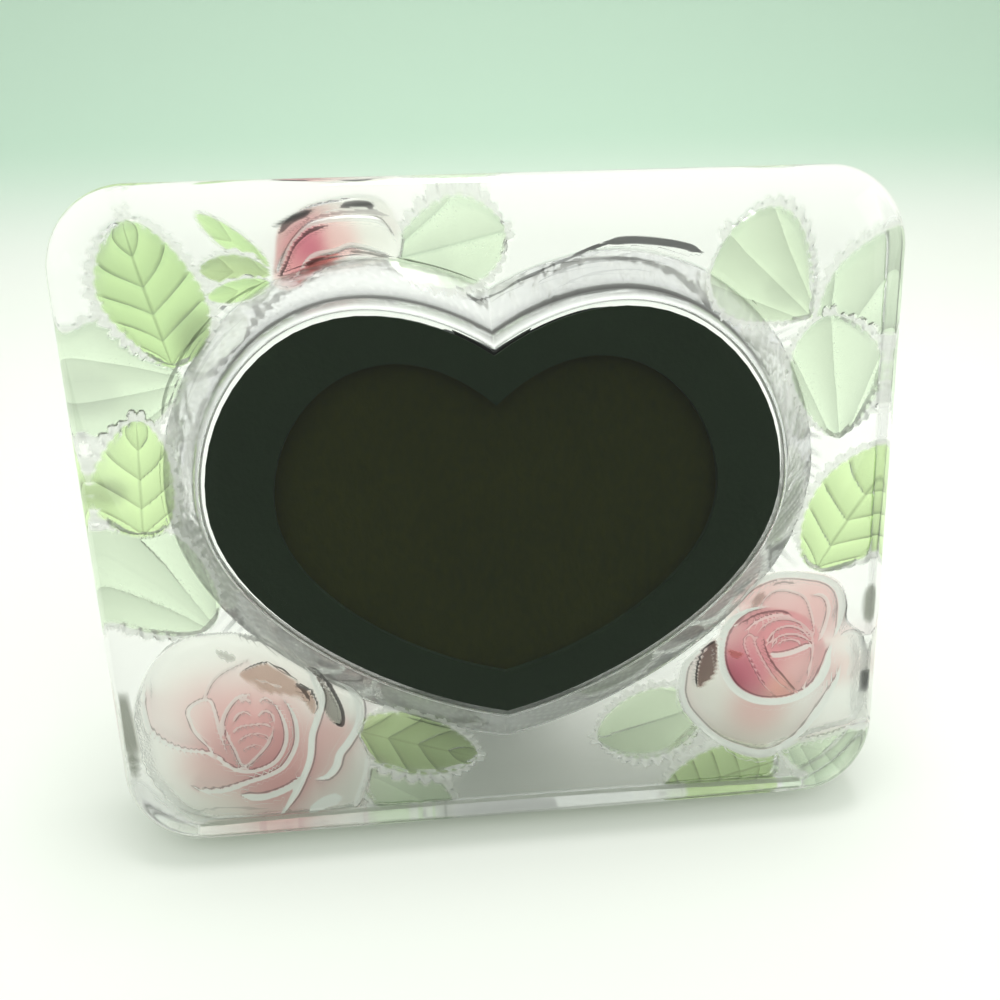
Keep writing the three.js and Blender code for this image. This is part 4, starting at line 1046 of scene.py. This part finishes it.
makeCrystal(crystalPaint())
matt, steelRough = (0.75, 1.0), (0.22, 0.42)
paints = {
    "mat_card": plainPaint("matCard", (0.024, 0.050, 0.021), (0.044, 0.080, 0.040), matt, 900.0, 0.00005),
    "hardboard": plainPaint(
        "hardboard", (0.028, 0.040, 0.002), (0.096, 0.104, 0.008), matt, 700.0, 0.0001, stretch=(1.0, 1.0, 0.6)
    ),
    "foam": plainPaint("foam", (0.004, 0.005, 0.004), (0.022, 0.024, 0.022), matt, 1100.0, 0.0004, cells=True),
    "velvet": plainPaint("velvet", (0.003, 0.004, 0.006), (0.030, 0.032, 0.040), matt, 1800.0, 0.0004, sheen=0.4),
    "flock": plainPaint("flock", (0.26, 0.28, 0.26), (0.60, 0.62, 0.58), matt, 1500.0, 0.0005, sheen=0.2),
    "felt": plainPaint(
        "felt", (0.006, 0.008, 0.006), (0.026, 0.030, 0.026), matt, 1500.0, 0.0003, stretch=(1.0, 0.35, 1.0),
        sheen=0.2,
    ),
    "steel": plainPaint(
        "steel", (0.50, 0.51, 0.52), (0.70, 0.71, 0.72), steelRough, 1600.0, 0.000015, 1.0, (0.04, 1.0, 1.0)
    ),
}
for row in frame["record"]["subparts"]:
    if row["material_slot"] in paints:
        node = frame["nodes"][row["node"]]
        node.data.materials.clear()
        node.data.materials.append(paints[row["material_slot"]])
print("finishes:", len(paints))


# Camera: where it stands off the front face in millimetres, how it is turned against the face, and its lens
view = {
    "left": 12.9, "above": 48.1, "away": 168.9, "turn": 4.23, "dip": 13.87, "roll": -2.14,
    "lens": 30.71, "sensor": 36.0, "nearest": 0.01,
}


def facing(side, above, ahead, place):
    # matrix of a camera or lamp at a place, looking ahead
    matrix = np.eye(4)
    matrix[:3, :3] = np.stack([side, above, -ahead], 1)
    matrix[:3, 3] = place
    return Matrix(matrix.tolist())


def makeCamera():
    turn, dip, roll = (math.radians(view[key]) for key in ("turn", "dip", "roll"))
    ahead = math.cos(dip) * (math.sin(turn) * right + math.cos(turn) * into) - math.sin(dip) * up
    side = math.cos(turn) * right - math.sin(turn) * into
    above = np.cross(side, ahead)
    side, above = (
        math.cos(roll) * side + math.sin(roll) * above,
        math.cos(roll) * above - math.sin(roll) * side,
    )
    place = faceMiddle + mm * (-view["left"] * right + view["above"] * up - view["away"] * into)
    data = bpy.data.cameras.new("camera")
    data.lens = view["lens"]
    data.sensor_width = view["sensor"]
    data.clip_start = view["nearest"]
    camera = bpy.data.objects.new("camera", data)
    camera.matrix_world = facing(side, above, ahead, place)
    bpy.context.scene.collection.objects.link(camera)
    bpy.context.scene.camera = camera


makeCamera()


# Studio light all round: what falls on the piece, what gloss and glass see of it, and dim towards the viewer, so
# that the polished front stays dark; white to the camera. A ray past the bounces was mirrored inside the glass.
room = {
    "light": 0.84, "seen": 0.97, "dim": 0.14, "viewer": (-0.92, -0.70), "tint": (0.95, 1.0, 0.95, 1.0),
    "white": (1.0, 1.0, 1.0, 1.0), "bounces": 3.25,
}
# Floor that sweeps up into a backdrop. In front of the crystal it looks like a dim card to reflections. Heights,
# sides, depths and distances between which these change are in metres.
stageLook = {
    "floor": (0.94, 0.95, 0.91), "backdrop": (0.61, 0.80, 0.66), "indirect": 0.2, "bounces": 2.25,
    "turn": (-0.01, 0.09), "sides": (1.1, 0.5), "card": (-0.02, -0.05), "far": (1.1, 2.6),
}
stageSize = {"half": 3.0, "front": -3.0, "back": 0.45, "sweep": 0.25, "top": 0.9, "steps": 13}


def makeStage():
    # a flat floor, a quarter circle and a wall, carried straight across
    bend = np.linspace(0.0, math.pi / 2, stageSize["steps"])
    y = np.concatenate([[stageSize["front"]], stageSize["back"] + stageSize["sweep"] * np.sin(bend)])
    z = np.concatenate([[0.0], stageSize["sweep"] * (1 - np.cos(bend))])
    y = np.append(y, y[-1])
    z = np.append(z, stageSize["top"])
    x = np.array([-stageSize["half"], stageSize["half"]])
    points = np.stack(np.broadcast_arrays(x, y[:, None], z[:, None]), -1)
    i = np.arange(len(y) - 1) * 2
    faces = np.stack([i, i + 1, i + 3, i + 2], 1).tolist()
    mesh = bpy.data.meshes.new("floor")
    mesh.from_pydata(points.reshape(-1, 3).tolist(), [], faces)
    mesh.shade_smooth()
    paint = Paint("floor")
    place = paint.node("ShaderNodeTexCoord", output=3)
    # the backdrop's own colour stands behind the piece, mostly for the camera alone, and fades out to the sides
    height, aside = paint.axis(place, 2), paint.axis(place, 0).abs()
    behind = paint.step(height, *stageLook["turn"]) * paint.step(aside, *stageLook["sides"])
    seen = paint.ray("Is Camera Ray")
    colour = paint.mix(behind * seen.larger(stageLook["indirect"]), stageLook["floor"], stageLook["backdrop"])
    sockets = {"Base Color": colour, "Roughness": 1.0, "Specular IOR Level": 0.0}
    pale = paint.node("ShaderNodeBsdfPrincipled", None, sockets)
    card = paint.node("ShaderNodeEmission", None, {"Color": room["tint"], "Strength": room["dim"]})
    depth = paint.axis(place, 1)
    mirrored = paint.bent() * paint.turned(stageLook["bounces"])
    shader = paint.blend(paint.step(depth, *stageLook["card"]) * mirrored, pale, card)
    # far from the piece the stage fades into the white around it, for the camera alone
    far = paint.step(aside.larger(depth * -1.0), *stageLook["far"]) * seen
    white = paint.node("ShaderNodeEmission", None, {"Color": room["white"], "Strength": 1.0})
    mesh.materials.append(paint.finish(paint.blend(far, shader, white)))
    floor = bpy.data.objects.new("floor", mesh)
    bpy.context.scene.collection.objects.link(floor)


makeStage()


# Soft square lamps: metres and watts
lamps = {
    "ceiling": {
        "place": (0.05, 0.14, 0.80), "aim": (0.0, 0.0, 0.05),
        "size": 0.25, "power": 2.4, "colour": (1.0, 1.0, 0.97),
    },
    "window": {
        "place": (0.70, -0.25, 0.40), "aim": (0.0, 0.0, 0.06),
        "size": 0.50, "power": 0.45, "colour": (1.0, 1.0, 0.98),
    },
}


def makeLight(name, place, aim, size, power, colour):
    data = bpy.data.lights.new(name, "AREA")
    data.size = size
    data.energy = power
    data.color = colour
    lamp = bpy.data.objects.new(name, data)
    ahead = np.array(aim, float) - np.array(place, float)
    ahead /= np.linalg.norm(ahead)
    side = np.cross(ahead, (0.0, 0.0, 1.0))
    side /= np.linalg.norm(side)
    lamp.matrix_world = facing(side, np.cross(side, ahead), ahead, place)
    lamp.visible_transmission = False
    bpy.context.scene.collection.objects.link(lamp)


for name, lamp in lamps.items():
    makeLight(name, **lamp)


def makeRoom():
    world = bpy.data.worlds.new("room")
    world.use_nodes = True
    paint = Paint("room", world.node_tree)
    heading = paint.axis(paint.node("ShaderNodeTexCoord", output=0), 1)
    behind = paint.step(heading, *room["viewer"])
    bright = behind.larger(1.0 - paint.turned(room["bounces"]))
    level = room["light"] + paint.bent() * (room["dim"] - room["light"] + bright * (room["seen"] - room["dim"]))
    around = paint.node("ShaderNodeBackground", None, {0: room["tint"], 1: level})
    backdrop = paint.node("ShaderNodeBackground", None, {0: room["white"], 1: 1.0})
    paint.node("ShaderNodeOutputWorld", None, {0: paint.blend(paint.ray("Is Camera Ray"), around, backdrop)})
    bpy.context.scene.world = world


makeRoom()
bpy.context.scene.view_settings.view_transform = "Standard"
print("camera, floor and lights set")
